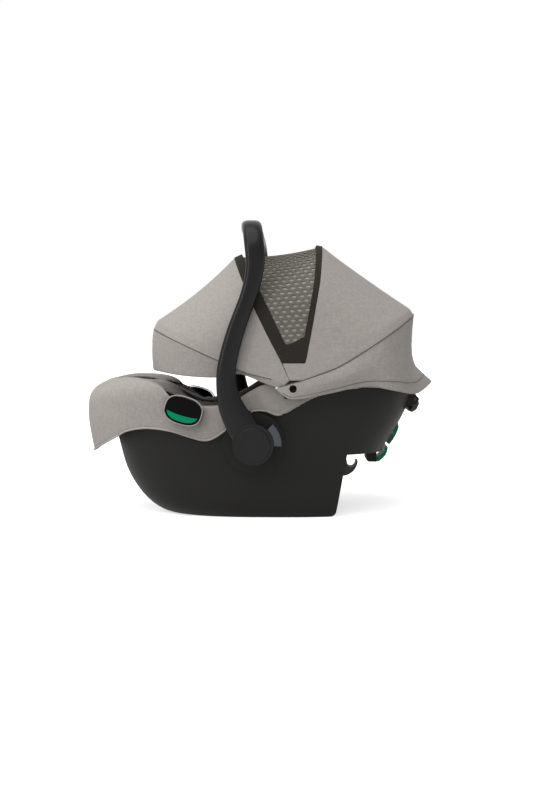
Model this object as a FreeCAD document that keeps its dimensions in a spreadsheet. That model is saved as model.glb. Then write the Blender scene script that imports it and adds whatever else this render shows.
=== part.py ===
"""Infant car seat: a moulded shell with a swinging carry handle, folding canopy, harness and headrest.

Frame: millimetres, +Z up, +X towards the head end, -Y the child's left. The origin is on the floor,
midway along and across the seat. Every driving size is a cell of the sheet called Sizes.
"""
import FreeCAD
import Part
import math
import os

import Sketcher
from FreeCAD import Placement, Rotation, Vector

doc = FreeCAD.newDocument("InfantCarSeat")
sheet = doc.addObject("Spreadsheet::Sheet", "Sizes")

SIZES = [
    # shell
    ("keel_front", -172, "where the flat keel ends at the foot end"),
    ("keel_rear", 141, "foot of the rear wall of the base"),
    ("rear_wall_lean", 21, "how far the rear wall leans back up to the head's underside"),
    ("knee_x", -268, "foot end at knee height"),
    ("knee_z", 105, "height where the foot end stops curving"),
    ("foot_rim_x", -303, "foot end at the rim"),
    ("head_low_x", 229, "head end at its underside"),
    ("head_low_z", 118, "underside of the head end"),
    ("head_rim_x", 295, "head end at the rim"),
    ("keel_half", 134, "half width the straight sides would have at the floor"),
    ("rim_half", 180, "half width at the rim"),
    ("keel_round", 13, "how much narrower the keel is, rounded into the sides"),
    ("shell_wall", 3.2, "shell wall"),
    ("rim_foot_z", 245, "rim height at the foot end"),
    ("rim_dip_z", 197, "rim height at the lap belt dip"),
    ("rim_side_z", 241, "rim height behind the handle"),
    ("rim_head_z", 258, "rim height at the head end"),
    ("dip_front_x", -112, "front of the dip"),
    ("dip_rear_x", -46, "rear of the dip"),
    ("slack", 0.4, "gap between parts that lie against each other"),
    # handle pivot
    ("hub_x", -10.6, "handle pivot"),
    ("hub_z", 145, "handle pivot height"),
    ("hub_radius", 37, "handle hub"),
    ("hub_inner", 197, "inner face of the hub, from the middle plane"),
    ("hub_depth", 20, "hub thickness"),
    ("hub_hollow", 26, "radius of the hollow in the hub"),
    ("hollow_depth", 11, "depth of the hollow in the hub"),
    ("cap_radius", 31, "hub cap"),
    ("cap_depth", 3, "depth of the recess for the cap"),
    ("boss_radius", 34, "boss on the shell"),
    ("boss_gap", 1, "gap between boss and hub"),
    ("boss_socket", 9, "depth of the socket in the boss"),
    ("shoulder_radius", 56, "raised disc around the boss"),
    ("shoulder_half", 174, "face of the raised disc, from the middle plane"),
    ("pin_radius", 9.9, "handle pivot pin"),
    ("pin_play", 0.08, "radial play on the pivot pin"),
    ("pin_head", 15, "radius of the pin's head"),
    ("gear_radius", 24, "lock gear over its teeth"),
    ("gear_thick", 8, "lock gear thickness"),
    ("button_outer", 51, "outer radius of the release button"),
    ("button_thick", 11, "release button thickness"),
    ("button_travel", 5, "release button travel"),
    ("spring_wire", 1.4, "button spring wire"),
    # handle
    ("handle_top", 549, "top of the handle"),
    ("arm_thick", 19, "arm thickness across the seat"),
    ("grip_thick", 26, "crossbar thickness"),
    ("grip_half", 92, "half length of the rubber grip"),
    ("grip_skin", 2.2, "rubber grip thickness"),
    # canopy
    ("canopy_x", 60.8, "canopy pivot"),
    ("canopy_z", 244.7, "canopy pivot height"),
    ("bow_thick", 2.6, "canopy bow thickness"),
    ("bow_width", 11, "canopy bow width"),
    ("bow_gap", 0.4, "gap between nested bows"),
    ("bow_start", 186.2, "inner face of the innermost bow leg"),
    ("cloth", 1.2, "canopy cloth thickness"),
    ("front_reach", 281, "front bow reach"),
    ("mid_front_reach", 263, "second bow reach"),
    ("mid_rear_reach", 265.5, "third bow reach"),
    ("rear_reach", 261.5, "rear bow reach"),
    ("hem_reach", 264, "front hem reach"),
    ("tail_reach", 275, "tail reach"),
    ("tail_waist", 240, "reach of the skirt at its waist"),
    ("front_angle", 155.7, "front bow angle above the head end"),
    ("mid_front_angle", 114, "second bow angle"),
    ("mid_rear_angle", 79.6, "third bow angle"),
    ("rear_angle", 31.9, "rear bow angle"),
    ("hem_angle", 173.5, "front hem angle"),
    ("canopy_pin", 5, "canopy pivot pin radius"),
    ("eye_radius", 9, "eye at the end of a bow leg"),
    ("panel_start", 40, "distance of the cloth panels from the pivot"),
    # soft parts
    ("cover_thick", 4.2, "side cover thickness"),
    ("liner_thick", 18, "foam liner thickness"),
    ("insert_thick", 10, "body insert thickness"),
    ("seat_z", 106, "seat surface height"),
    ("seat_front", -64, "front of the flat seat"),
    ("seat_rear", 78, "rear of the flat seat"),
    ("seat_half", 84, "half width of the flat seat"),
    ("well_half", 153, "half width of the seat well at the rim"),
    ("well_foot_x", -284, "seat well at the foot end rim"),
    ("well_head_x", 276, "seat well at the head end rim"),
    # belt guides
    ("lap_x", -138, "lap belt guide centre"),
    ("lap_z", 204, "lap belt guide centre height"),
    ("lap_long", 33, "lap belt guide half length"),
    ("lap_short", 24, "lap belt guide half height"),
    ("lap_tilt", 17, "lap belt guide tilt"),
    ("lap_face", 184.5, "outer face of the lap belt hook"),
    ("lap_plate", 4, "lap belt hook plate thickness"),
    ("guide_half", 34, "half width of the shoulder belt guide"),
    ("guide_thick", 5, "shoulder belt guide thickness"),
    # base latch
    ("bar_radius", 5, "lock bar radius"),
    ("bar_z", 15, "lock bar height"),
    ("front_bar_x", -88, "front lock bar"),
    ("rear_bar_x", 92, "rear lock bar"),
    ("pocket_long", 46, "lock bar pocket length"),
    ("pocket_half", 80, "lock bar pocket half width"),
    ("pocket_deep", 30, "lock bar pocket depth"),
    ("latch_half", 21, "half width of the rear latch"),
    ("lever_half", 52, "half width of the release lever"),
    ("lever_pin", 3, "release lever pin radius"),
    # harness and headrest
    ("strap_wide", 38, "shoulder strap width"),
    ("strap_thick", 1.8, "webbing thickness"),
    ("strap_y", 44, "shoulder strap from the middle plane"),
    ("buckle_long", 58, "buckle length"),
    ("buckle_wide", 46, "buckle width"),
    ("buckle_thick", 20, "buckle thickness"),
    ("buckle_x", -48, "foot end of the buckle"),
    ("tail_wide", 25, "adjuster strap width"),
    ("adjuster_x", -152, "harness adjuster"),
    ("slot_x", 141, "where the shoulder straps come through the back"),
    ("clip_x", 52, "middle of the chest clip"),
    ("pillow_half", 92, "half width of the head pillow"),
    ("pillow_start", 172, "foot end of the head pillow"),
    ("pillow_thick", 16, "head pillow thickness"),
]
for row, (alias, value, note) in enumerate(SIZES, start=1):
    sheet.set(f"A{row}", note)
    sheet.set(f"B{row}", str(value))
    sheet.setAlias(f"B{row}", alias)
doc.recompute()


def size(alias):
    """A cell of the sheet as a number."""
    return float(sheet.get(alias))


FAR = 500.0  # longer than any part reaches
SIDES = (("left", -1), ("right", 1))
NODES = {}


def node(label, obj):
    """Names a finished sub-part."""
    obj.Label = label
    NODES[label] = obj
    return obj


def feature(label, shape):
    """A free-form sub-part as a Part::Feature."""
    obj = doc.addObject("Part::Feature", label)
    obj.Shape = shape
    return node(label, obj)


# ---------------------------------------------------------------- outline helpers


def oval(x_low, x_high, half, z, blunt_low, blunt_high, steps=36):
    """A ring of points on a level, egg-like outline. The blunt values square off its two ends."""
    middle = (x_low + x_high) / 2
    ring = []
    for i in range(steps):
        turn = 2 * math.pi * i / steps
        c, s = math.cos(turn), math.sin(turn)
        reach, blunt = (x_high - middle, blunt_high) if c >= 0 else (middle - x_low, blunt_low)
        ring.append(Vector(middle + reach * math.copysign(abs(c) ** (2 / blunt), c),
                           half * math.copysign(abs(s) ** (2 / blunt), s), z))
    return ring


def skin(rings):
    """A smooth closed solid through rings of points, its two ends flat."""
    count = len(rings[0])
    turns = [float(i) for i in range(count + 1)]
    shaped = []
    for ring in rings:
        curve = Part.BSplineCurve()
        curve.interpolate(Points=ring, PeriodicFlag=True, Parameters=turns)
        shaped.append(curve)
    along = [0.0]
    for near, far in zip(rings, rings[1:]):
        along.append(along[-1] + sum((a - b).Length for a, b in zip(near, far)) / count)
    rows = []
    for i in range(shaped[0].NbPoles):
        row = Part.BSplineCurve()
        row.interpolate(Points=[curve.getPole(i + 1) for curve in shaped], Parameters=along)
        rows.append(row)
    surface = Part.BSplineSurface()
    surface.buildFromPolesMultsKnots(
        [row.getPoles() for row in rows], shaped[0].getMultiplicities(), rows[0].getMultiplicities(),
        shaped[0].getKnots(), rows[0].getKnots(), True, False, 3, rows[0].Degree)
    side = surface.toShape()
    ends = [Part.Face(Part.Wire([edge])) for edge in side.Edges if edge.isClosed()]
    shell = Part.Shell([side] + ends)
    shell.sewShape()
    solid = Part.Solid(shell)
    if solid.Volume < 0:
        solid.reverse()
    return solid


def loft(wires, ruled=False):
    """A closed solid through the wires."""
    solid = Part.makeLoft(wires, True, ruled)
    if solid.Volume < 0:
        solid.reverse()
    return solid


def prism(points, low_y=-FAR, high_y=FAR):
    """A side-view outline, given as (x, z) points, carried across the seat."""
    corners = [Vector(x, low_y, z) for x, z in points]
    face = Part.Face(Part.makePolygon(corners + corners[:1]))
    return face.extrude(Vector(0, high_y - low_y, 0))


def below_curve(points, drop=-100.0):
    """Everything below a smooth side-view curve through (x, z) points."""
    curve = Part.BSplineCurve()
    curve.interpolate(Points=[Vector(x, -FAR, z) for x, z in points])
    first, last = points[0], points[-1]
    corners = [Vector(last[0], -FAR, last[1]), Vector(last[0], -FAR, drop),
               Vector(first[0], -FAR, drop), Vector(first[0], -FAR, first[1])]
    wire = Part.Wire([curve.toShape()] + Part.makePolygon(corners).Edges)
    return Part.Face(wire).extrude(Vector(0, 2 * FAR, 0))


def rod(radius, start, end):
    """A round bar between two points."""
    along = end - start
    return Part.makeCylinder(radius, along.Length, start, along)


def across(radius, x, z, near, far, side=1):
    """A round bar across the seat between two distances from the middle plane, on one side."""
    return rod(radius, Vector(x, side * near, z), Vector(x, side * far, z))


# ---------------------------------------------------------------- sketched bodies


def new_body(label):
    return node(label, doc.addObject("PartDesign::Body", label))


def new_sketch(body, role="XZ_Plane", offset="0"):
    """A sketch on one of the body's own planes, moved along the plane's normal."""
    sketch = body.newObject("Sketcher::SketchObject", body.Name + "Sketch")
    plane = next(p for p in body.Origin.OriginFeatures if p.Role == role)
    sketch.AttachmentSupport = [(plane, "")]
    sketch.MapMode = "FlatFace"
    sketch.setExpression("AttachmentOffset.Base.z", offset)
    return sketch


def add_circle(sketch, x, y, radius):
    """A circle whose centre and radius are expressions on the sheet."""
    i = sketch.addGeometry(Part.Circle(Vector(1, 1, 0), Vector(0, 0, 1), 5))
    rules = ((Sketcher.Constraint("DistanceX", -1, 1, i, 3, 1.0), x),
             (Sketcher.Constraint("DistanceY", -1, 1, i, 3, 1.0), y),
             (Sketcher.Constraint("Radius", i, 5.0), radius))
    for rule, expression in rules:
        sketch.setExpression(f"Constraints[{sketch.addConstraint(rule)}]", expression)


def add_outline(sketch, points):
    """A closed outline. A point written with a third number is the middle of an arc."""
    spots = [Vector(p[0], p[1], 0) for p in points]
    count = len(points)
    i = 0
    while i < count:
        after = (i + 1) % count
        if len(points[after]) == 3:
            end = (i + 2) % count
            sketch.addGeometry(Part.Arc(spots[i], spots[after], spots[end]))
            i += 2
        else:
            sketch.addGeometry(Part.LineSegment(spots[i], spots[after]))
            i += 1


def pad(body, sketch, length, away=False, kind="PartDesign::Pad"):
    """Pads or pockets a sketch. XZ sketches go towards -Y, or towards +Y with away."""
    made = body.newObject(kind, body.Name + kind.split("::")[1])
    made.Profile = sketch
    made.setExpression("Length", length)
    made.Reversed = away
    return made


def disc_body(label, side, rings):
    """A stack of round steps on one side of the seat.

    Each ring is (x, z, radius, near, far): expressions on the sheet, with near and far
    measured from the middle plane.
    """
    body = new_body(label)
    for x, z, radius, near, far in rings:
        sketch = new_sketch(body, offset=near if side < 0 else f"-({near})")
        add_circle(sketch, x, z, radius)
        pad(body, sketch, f"({far}) - ({near})", away=side > 0)
    return body


def round_edges(body, radius, wanted):
    """Fillets the edges of the body's tip that the test picks."""
    doc.recompute()
    base = body.Tip
    names = [f"Edge{i + 1}" for i, edge in enumerate(base.Shape.Edges) if wanted(edge)]
    made = body.newObject("PartDesign::Fillet", body.Name + "Fillet")
    made.Base = (base, names)
    made.Radius = radius
    return made


# ---------------------------------------------------------------- shell

FOOT_CURL = 1.9    # how fully the foot end curls under
FOOT_BLUNT = 2.8   # plan shape of the foot end
HEAD_BLUNT = 2.6   # plan shape of the head end
HEAD_SWELL = 1.75  # how the head end swells up to the rim
HEAD_EASE = 12.0   # how sharply the head end turns at its underside
ABOVE_RIM = 22.0   # how far the blanks stand above the rim before it is cut
WALL_FOOT = 12.0   # radius at the foot of the base's rear wall


def foot_x(z):
    """Foot end of the shell at a height."""
    lean = (size("foot_rim_x") - size("knee_x")) / (size("rim_foot_z") - size("knee_z"))
    straight = size("knee_x") + (z - size("knee_z")) * lean
    if z >= size("knee_z"):
        return straight
    floor_x = size("knee_x") - size("knee_z") * lean
    rise = 1 - (1 - max(z, 0) / size("knee_z")) ** FOOT_CURL
    return straight + (size("keel_front") - floor_x) * (1 - rise ** (1 / FOOT_CURL))


def head_x(z):
    """Head end of the shell at a height: upright below the underside, then swelling to the rim."""
    low, rim = size("head_low_z"), size("rim_head_z")
    left = (rim - z) / (rim - low)
    eased = -math.log(math.exp(-HEAD_EASE * left) + math.exp(-HEAD_EASE)) / HEAD_EASE
    swell = math.copysign(abs(eased) ** HEAD_SWELL, eased)
    return size("head_rim_x") - (size("head_rim_x") - size("head_low_x")) * swell


def half_width(z):
    """Half width of the shell at a height: straight sides that curl in at the keel."""
    grown = size("keel_half") + (size("rim_half") - size("keel_half")) * z / size("rim_head_z")
    return grown - size("keel_round") * math.exp(-max(z, 0) / size("keel_round"))


def shell_section(z, inset):
    return oval(foot_x(z) + inset, head_x(z) - inset, half_width(z) - inset, z,
                FOOT_BLUNT, HEAD_BLUNT)


def spread(low, high, shares):
    return [low + (high - low) * share for share in shares]


def bucket(inset, floor):
    """The blank of the shell, from a floor up past the rim."""
    top = size("rim_head_z") + ABOVE_RIM
    levels = spread(floor, top, (0, 0.01, 0.03, 0.055, 0.09, 0.15, 0.22, 0.3, 0.38, 0.44, 0.5, 0.57,
                                 0.65, 0.74, 0.84, 0.93, 1))
    return skin([shell_section(z, inset) for z in levels])


def wall_x(z):
    """Outer face of the base's rear wall at a height."""
    return size("keel_rear") + size("rear_wall_lean") * z / size("head_low_z")


def arch(offset):
    """The space under the head end, behind the base's rear wall, which is rounded at its foot."""
    lean = math.atan(size("rear_wall_lean") / size("head_low_z"))
    top = size("head_low_z") + offset
    middle = Vector(wall_x(WALL_FOOT) - WALL_FOOT / math.cos(lean), -FAR, WALL_FOOT)
    low, bend, high = (middle + Vector(math.cos(turn), 0, math.sin(turn)) * (WALL_FOOT - offset)
                       for turn in (-math.pi / 2, -math.pi / 4 - lean / 2, -lean))
    wall_top = Vector(high.x + (top - high.z) * math.tan(lean), -FAR, top)
    corners = [high, wall_top, Vector(FAR, -FAR, top), Vector(FAR, -FAR, -50), Vector(low.x, -FAR, -50),
               low]
    outline = Part.Wire([Part.Arc(low, bend, high).toShape()] + Part.makePolygon(corners).Edges)
    return Part.Face(outline).extrude(Vector(0, 2 * FAR, 0))


def rim_points(lift):
    """The shell's rim in side view: level at the foot end, a dip for the lap belt, then up."""
    foot, dip = size("rim_foot_z") + lift, size("rim_dip_z") + lift
    side, head = size("rim_side_z") + lift, size("rim_head_z") + lift
    front, rear = size("dip_front_x"), size("dip_rear_x")
    return [(-FAR, foot), (front - 150, foot + 1), (front - 90, foot), (front - 45, foot - 13),
            (front, dip + 7), ((front + rear) / 2, dip), (rear, dip + 8),
            (rear + 34, side - 9), (rear + 62, side), (rear + 180, (side + head) / 2 + 2),
            (FAR, head)]


def lock_pocket(x, grow):
    """The pocket in the base round a lock bar."""
    long, half = size("pocket_long") + 2 * grow, size("pocket_half") + grow
    return Part.makeBox(long, 2 * half, size("pocket_deep") + grow,
                        Vector(x - long / 2, -half, 0))


def hub_bar(radius, near, far, side):
    """A round bar on the handle's axis, on one side."""
    return across(radius, size("hub_x"), size("hub_z"), near, far, side)


boss_face = size("hub_inner") - size("boss_gap")
inside = size("shell_wall")
NUT_DEEP = 5.0    # thickness of the pivot pin's nut
NUT_RADIUS = 14.0
hub_wall = half_width(size("hub_z")) - inside
nut_face = hub_wall + NUT_DEEP + 3
shell = bucket(0, 0.0).common(below_curve(rim_points(0))).cut(arch(0))
for _, side in SIDES:
    shell = shell.fuse([hub_bar(size("shoulder_radius"), hub_wall - 8, size("shoulder_half"), side),
                        hub_bar(size("boss_radius"), hub_wall - 8, boss_face, side)])
shell = shell.cut(bucket(inside, inside).cut(arch(inside)))

BAR_SEAT = 14.0  # how deep each end of a lock bar sits in the walls of its pocket
bar_end = size("pocket_half") + inside + BAR_SEAT
for bar_x in (size("front_bar_x"), size("rear_bar_x")):
    seat = Part.makeBox(4 * size("bar_radius"), 2 * bar_end + inside, size("bar_z") + 10,
                        Vector(bar_x - 2 * size("bar_radius"), -bar_end - inside / 2, 1))
    shell = shell.fuse([lock_pocket(bar_x, inside), seat])
    shell = shell.cut([lock_pocket(bar_x, 0),
                       rod(size("bar_radius") + 0.1, Vector(bar_x, -bar_end, size("bar_z")),
                           Vector(bar_x, bar_end, size("bar_z")))])
for _, side in SIDES:
    shell = shell.cut([hub_bar(size("hub_hollow"), boss_face - size("boss_socket"), FAR, side),
                       hub_bar(size("pin_radius") + size("pin_play"), hub_wall - 9, FAR, side),
                       hub_bar(NUT_RADIUS + 1, hub_wall - 9, nut_face, side)])
feature("outer_shell", shell)

# ---------------------------------------------------------------- handle pivot

HUB = ("Sizes.hub_x", "Sizes.hub_z")
HEAD_DEEP = 2.5   # thickness of the pivot pin's head
WING_THICK = 3.0  # the hub's wing behind the release button
FINGER_WIDE = 10.0
BUTTON_SWEEP = (-3.0, 46.0)  # where the release button starts and ends round the hub, degrees

hub_outer = size("hub_inner") + size("hub_depth")
cap_floor = hub_outer - size("cap_depth")
head_floor = cap_floor - HEAD_DEEP - size("slack")
hollow_floor = size("hub_inner") + size("hollow_depth")
gear_near = boss_face - size("gear_thick") + size("button_travel")
gear_far = gear_near + size("gear_thick")
finger_near = gear_far + size("slack")
finger_far = finger_near + 3
button_far = hub_outer + 1
button_near = button_far - size("button_thick")


def sector(inner, outer, near, far, side, sweep):
    """Part of a ring round the hub, between two angles above the head end."""
    start, end = sweep
    blank = hub_bar(outer, near, far, side).cut(hub_bar(inner, near - 1, far + 1, side))
    corner = Vector(size("hub_x"), 0, size("hub_z"))
    turns = [math.radians(start + (end - start) * i / 4) for i in range(5)]
    tips = [(corner.x + 3 * outer * math.cos(t), corner.z + 3 * outer * math.sin(t)) for t in turns]
    return blank.common(prism([(corner.x, corner.z)] + tips))


def finger(near, far, side, grow=0.0):
    """The button's finger, which reaches through the hub's wall to the lock gear."""
    reach = size("hub_radius") + 3 + grow
    wide = FINGER_WIDE + 2 * grow
    low = size("gear_radius") - 8
    block = Part.makeBox(reach - low, far - near, wide, Vector(low, 0, -wide / 2))
    block.rotate(Vector(), Vector(0, 1, 0), -sum(BUTTON_SWEEP) / 2)
    block.translate(Vector(size("hub_x"), near if side > 0 else -far, size("hub_z")))
    return block


SPRING_RADIUS = 3.4
SPRING_PITCH = 2.6
spring_foot = size("hub_inner") + WING_THICK
spring_top = button_far - 4


def spring_spot(side, distance):
    """A point on the spring's axis, in the middle of the release button's sweep."""
    turn = math.radians(BUTTON_SWEEP[0] + 14)
    reach = (size("hub_radius") + size("button_outer")) / 2
    return Vector(size("hub_x") + reach * math.cos(turn), side * distance,
                  size("hub_z") + reach * math.sin(turn))


def finger_post(side):
    """Joins the finger to the button's back."""
    return finger(finger_near, button_near + 1, side).cut(
        hub_bar(size("hub_radius") + size("slack"), hub_wall, FAR, side))


for name, side in SIDES:
    # the pivot pin: a shank with a flat head under the hub cap
    disc_body(f"handle_pivot_pin_{name}", side, [
        (*HUB, "Sizes.pin_radius", str(nut_face - NUT_DEEP), str(head_floor)),
        (*HUB, "Sizes.pin_head", str(head_floor), str(head_floor + HEAD_DEEP))])
    # the lock gear slides on the pin between the boss and the hub
    gear = new_body(f"handle_lock_gear_{name}")
    sketch = new_sketch(gear, offset=str(gear_near if side < 0 else -gear_near))
    add_circle(sketch, *HUB, "Sizes.gear_radius - 2.5")
    add_circle(sketch, *HUB, "Sizes.pin_radius + Sizes.pin_play")
    pad(gear, sketch, "Sizes.gear_thick", away=side > 0)
    TEETH = 18
    tooth_sketch = new_sketch(gear, offset=str(gear_near if side < 0 else -gear_near))
    root, tip = size("gear_radius") - 4, size("gear_radius")
    x, z = size("hub_x"), size("hub_z")
    add_outline(tooth_sketch, [(x - 2.4, z + root), (x - 1.5, z + tip), (x + 1.5, z + tip),
                               (x + 2.4, z + root)])
    tooth = pad(gear, tooth_sketch, "Sizes.gear_thick", away=side > 0)
    doc.recompute()
    ring = gear.newObject("PartDesign::PolarPattern", gear.Name + "Teeth")
    ring.Originals = [tooth]
    ring.Occurrences = TEETH
    ring.Angle = 360
    axis_sketch = new_sketch(gear)
    axis_sketch.addGeometry(Part.Circle(Vector(x, z, 0), Vector(0, 0, 1), 1), True)
    axis_sketch.setExpression("AttachmentOffset.Base.x", "Sizes.hub_x")
    axis_sketch.setExpression("AttachmentOffset.Base.y", "Sizes.hub_z")
    ring.Axis = (axis_sketch, ["N_Axis"])
    gear.Tip = ring
    # the release button, its finger and the spring behind it
    button = sector(size("hub_radius") + size("slack"), size("button_outer"), button_near, button_far,
                    side, BUTTON_SWEEP)
    button = button.makeFillet(2.0, [e for e in button.Edges
                                     if abs(abs(e.CenterOfMass.y) - button_far) < 0.01])
    bore = SPRING_RADIUS + 1
    button = button.cut(rod(bore, spring_spot(side, button_near - 1), spring_spot(side, spring_top)))
    button = button.fuse([finger(finger_near, finger_far, side), finger_post(side)])
    feature(f"handle_button_{name}", button)
    coil = Part.makeHelix(SPRING_PITCH, spring_top - spring_foot - size("spring_wire"), SPRING_RADIUS)
    start = Vector(SPRING_RADIUS, 0, 0)
    section = Part.Wire(Part.makeCircle(size("spring_wire") / 2, start, Vector(0, 1, 0)))
    spring = Part.Wire(coil).makePipeShell([section], True, True)
    spring.rotate(Vector(), Vector(1, 0, 0), 90 if side < 0 else -90)
    spring.translate(spring_spot(side, spring_foot + size("spring_wire") / 2))
    feature(f"handle_spring_{name}", spring)
    # the hub cap, slightly domed
    cap = disc_body(f"handle_hub_cap_{name}", side, [
        (*HUB, "Sizes.cap_radius", str(cap_floor), "Sizes.hub_inner + Sizes.hub_depth + 2.5")])
    round_edges(cap, 2.0, lambda e: abs(abs(e.CenterOfMass.y) - hub_outer - 2.5) < 0.01)

nuts = []
for _, side in SIDES:
    nut = hub_bar(NUT_RADIUS, nut_face - NUT_DEEP, nut_face, side)
    nuts.append(nut.cut(hub_bar(size("pin_radius"), hub_wall - 9, FAR, side)))
feature("handle_pivot_nuts", Part.makeCompound(nuts))

# ---------------------------------------------------------------- handle

# the arm's middle line in side view: height, x, width in side view
ARM = ((150, -16, 55), (176, -30.5, 53), (200, -44, 49), (222, -53, 43), (244, -57, 39),
       (268, -59, 35), (298, -55, 33), (328, -47.5, 32), (360, -37.5, 31), (396, -24, 30),
       (430, -13, 31), (462, -7, 33), (480, -6.6, 35))
BEND = 52.0        # radius of the bend from arm to crossbar, along the middle line
BAR_WIDE = 36.0    # crossbar, in side view
BAR_X = -15.0
arm_y = size("hub_inner") + size("hub_depth") / 2
bar_z = size("handle_top") - size("grip_thick") / 2


def arm_section(middle, wide, thick, along, steps=20):
    """A section across the handle's middle line: rounder on the arms than along the crossbar."""
    side_way = (Vector(1, 0, 0) - along * along.x).normalize()
    thick_way = along.cross(side_way)
    soft = 0.6 + 0.24 * abs(along.z)
    points = []
    for i in range(steps):
        turn = 2 * math.pi * (i + 0.5) / steps
        c, s = math.cos(turn), math.sin(turn)
        points.append(middle + side_way * (wide / 2 * math.copysign(abs(c) ** soft, c))
                      + thick_way * (thick / 2 * math.copysign(abs(s) ** soft, s)))
    return points


def handle_stations():
    """Middle, width, thickness and direction along the handle, from the left hub to the right."""
    half = []
    for i, (z, x, wide) in enumerate(ARM):
        below, above = ARM[max(i - 1, 0)], ARM[min(i + 1, len(ARM) - 1)]
        along = Vector(above[1] - below[1], 0, above[0] - below[0]).normalize()
        half.append((Vector(x, -arm_y, z), wide, size("arm_thick"), along))
    centre_y, centre_z = -arm_y + BEND, bar_z - BEND
    for share in (0.25, 0.5, 0.75, 1.0):
        turn = share * math.pi / 2
        middle = Vector(ARM[-1][1] + (BAR_X - ARM[-1][1]) * share,
                        centre_y - BEND * math.cos(turn), centre_z + BEND * math.sin(turn))
        thick = size("arm_thick") + (size("grip_thick") - size("arm_thick")) * share
        half.append((middle, BAR_WIDE, thick, Vector(0, math.sin(turn), math.cos(turn))))
    straight = arm_y - BEND
    for share in (0.8, 0.6, 0.4, 0.2):
        half.append((Vector(BAR_X, -straight * share, bar_z), BAR_WIDE, size("grip_thick"),
                     Vector(0, 1, 0)))
    return half


stations = handle_stations()
mirrored = [(Vector(m.x, -m.y, m.z), w, t, Vector(-a.x, a.y, -a.z)) for m, w, t, a in stations[::-1]]
handle = skin([arm_section(*station) for station in stations + mirrored])
handle_pieces = []
for _, side in SIDES:
    wing = sector(size("hub_radius") - 2, size("button_outer"), size("hub_inner"), spring_foot, side,
                  BUTTON_SWEEP)
    handle_pieces += [hub_bar(size("hub_radius"), size("hub_inner"), hub_outer, side), wing]
handle = handle.fuse(handle_pieces)
for _, side in SIDES:
    slot = finger(finger_near - size("button_travel") - 1, finger_far + size("slack"), side, size("slack"))
    room = finger(size("hub_inner") - 1, button_near, side, size("slack")).cut(
        hub_bar(size("hub_radius"), hub_wall, FAR, side))
    handle = handle.cut([
        hub_bar(size("hub_hollow"), hub_wall, hollow_floor, side), slot, room,
        hub_bar(size("pin_radius") + size("pin_play"), hub_wall, FAR, side),
        hub_bar(size("pin_head") + size("slack"), head_floor - 0.1, FAR, side),
        hub_bar(size("cap_radius") + 0.1, cap_floor - 0.05, FAR, side),
        sector(size("hub_radius"), size("button_outer") + 3, spring_foot, FAR, side,
               (BUTTON_SWEEP[0] - 8, BUTTON_SWEEP[1] + 1))])
feature("handle_frame", handle)

# the rubber grip: a sleeve let into the crossbar
grip_half, sleeve = size("grip_half"), size("grip_skin")
GRIP_EDGE = Vector(0, 1, 0)


def grip_core(grow, half):
    """A soft-cornered bar along the crossbar's middle, thinner than it by the grip's skin."""
    return skin([arm_section(Vector(BAR_X, y, bar_z), BAR_WIDE + 2 * grow,
                             size("grip_thick") + 2 * grow, GRIP_EDGE)
                 for y in spread(-half, half, (0, 0.33, 0.67, 1))])


groove = grip_core(2, grip_half).cut(grip_core(-sleeve, grip_half + 1))
handle = handle.cut(groove)
NODES["handle_frame"].Shape = handle
feature("handle_grip", grip_core(0, grip_half - 0.2).cut(grip_core(-sleeve, grip_half + 1)))

# ---------------------------------------------------------------- seat well and soft parts

WELL_TOP = 262.0   # height at which the well reaches its full width
WELL_FOOT = 0.75   # how the well opens towards the foot end
WELL_HEAD = 0.7    # how the well opens towards the head end
WELL_SIDE = 0.5    # how the well's sides rise


def well_share(z, inset):
    floor = size("seat_z") + inset
    return max(0.0, z - floor) / (WELL_TOP - floor)


def well_limits(z, inset):
    """Foot end, head end and half width of the space that the child lies in, at a height."""
    share = well_share(z, inset)
    low = size("seat_front") + (size("well_foot_x") - size("seat_front")) * share ** WELL_FOOT
    high = size("seat_rear") + (size("well_head_x") - size("seat_rear")) * share ** WELL_HEAD
    half = size("seat_half") + (size("well_half") - size("seat_half")) * share ** WELL_SIDE
    return low + inset, high - inset, half - inset


def well_section(z, inset):
    return oval(*well_limits(z, inset), z, FOOT_BLUNT, HEAD_BLUNT)


def well(inset):
    """The space that the child lies in."""
    floor = size("seat_z") + inset
    levels = spread(floor, WELL_TOP, (0, 0.03, 0.09, 0.18, 0.3, 0.45, 0.62, 0.8, 1, 1.15))
    return skin([well_section(z, inset) for z in levels])


def seat_height(x, y, inset):
    """Height of the seat's surface at a place in plan."""
    floor = size("seat_z") + inset
    low, high = floor, WELL_TOP
    for _ in range(24):
        z = (low + high) / 2
        front, rear, half = well_limits(z, inset)
        middle = (front + rear) / 2
        blunt, reach = (HEAD_BLUNT, rear - middle) if x > middle else (FOOT_BLUNT, middle - front)
        across_share = min(1.0, abs(y) / half) ** blunt
        inside_oval = abs(x - middle) < reach * (1 - across_share) ** (1 / blunt)
        low, high = (low, z) if inside_oval else (z, high)
    return high


PAD_THICK = 8.0    # quilted pad that lines the well
COVER_GAP = 1.1    # gap between the shell and the cover
APRON = ((117, -324.8), (135, -328.3), (153, -331.3), (176, -334.8), (194, -335.8), (214, -335.3),
         (226, -332.8), (238, -325.3), (248, -312.3), (256, -295.3))
HEM = ((-FAR, 60), (-328, 112), (-322, 118), (-290, 137.5), (-259, 155), (-250, 160.5), (-224, 167),
       (-197, 168), (-161, 163), (-125, 152), (-101, 146.5), (-85, 150.5), (-62, 165.5), (-38, 185),
       (-15, 200), (10, 201.5), (34, 194), (64, 205), (100, 226), (150, 240), (FAR, 246))
COVER_TOP = ((-FAR, 257), (-290, 257), (-200, 256), (-173, 242), (-160, 227), (-140, 215),
             (-107, 211), (-74, 213), (-35, 228), (5, 251), (30, 256), (120, 262), (FAR, 270))


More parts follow.
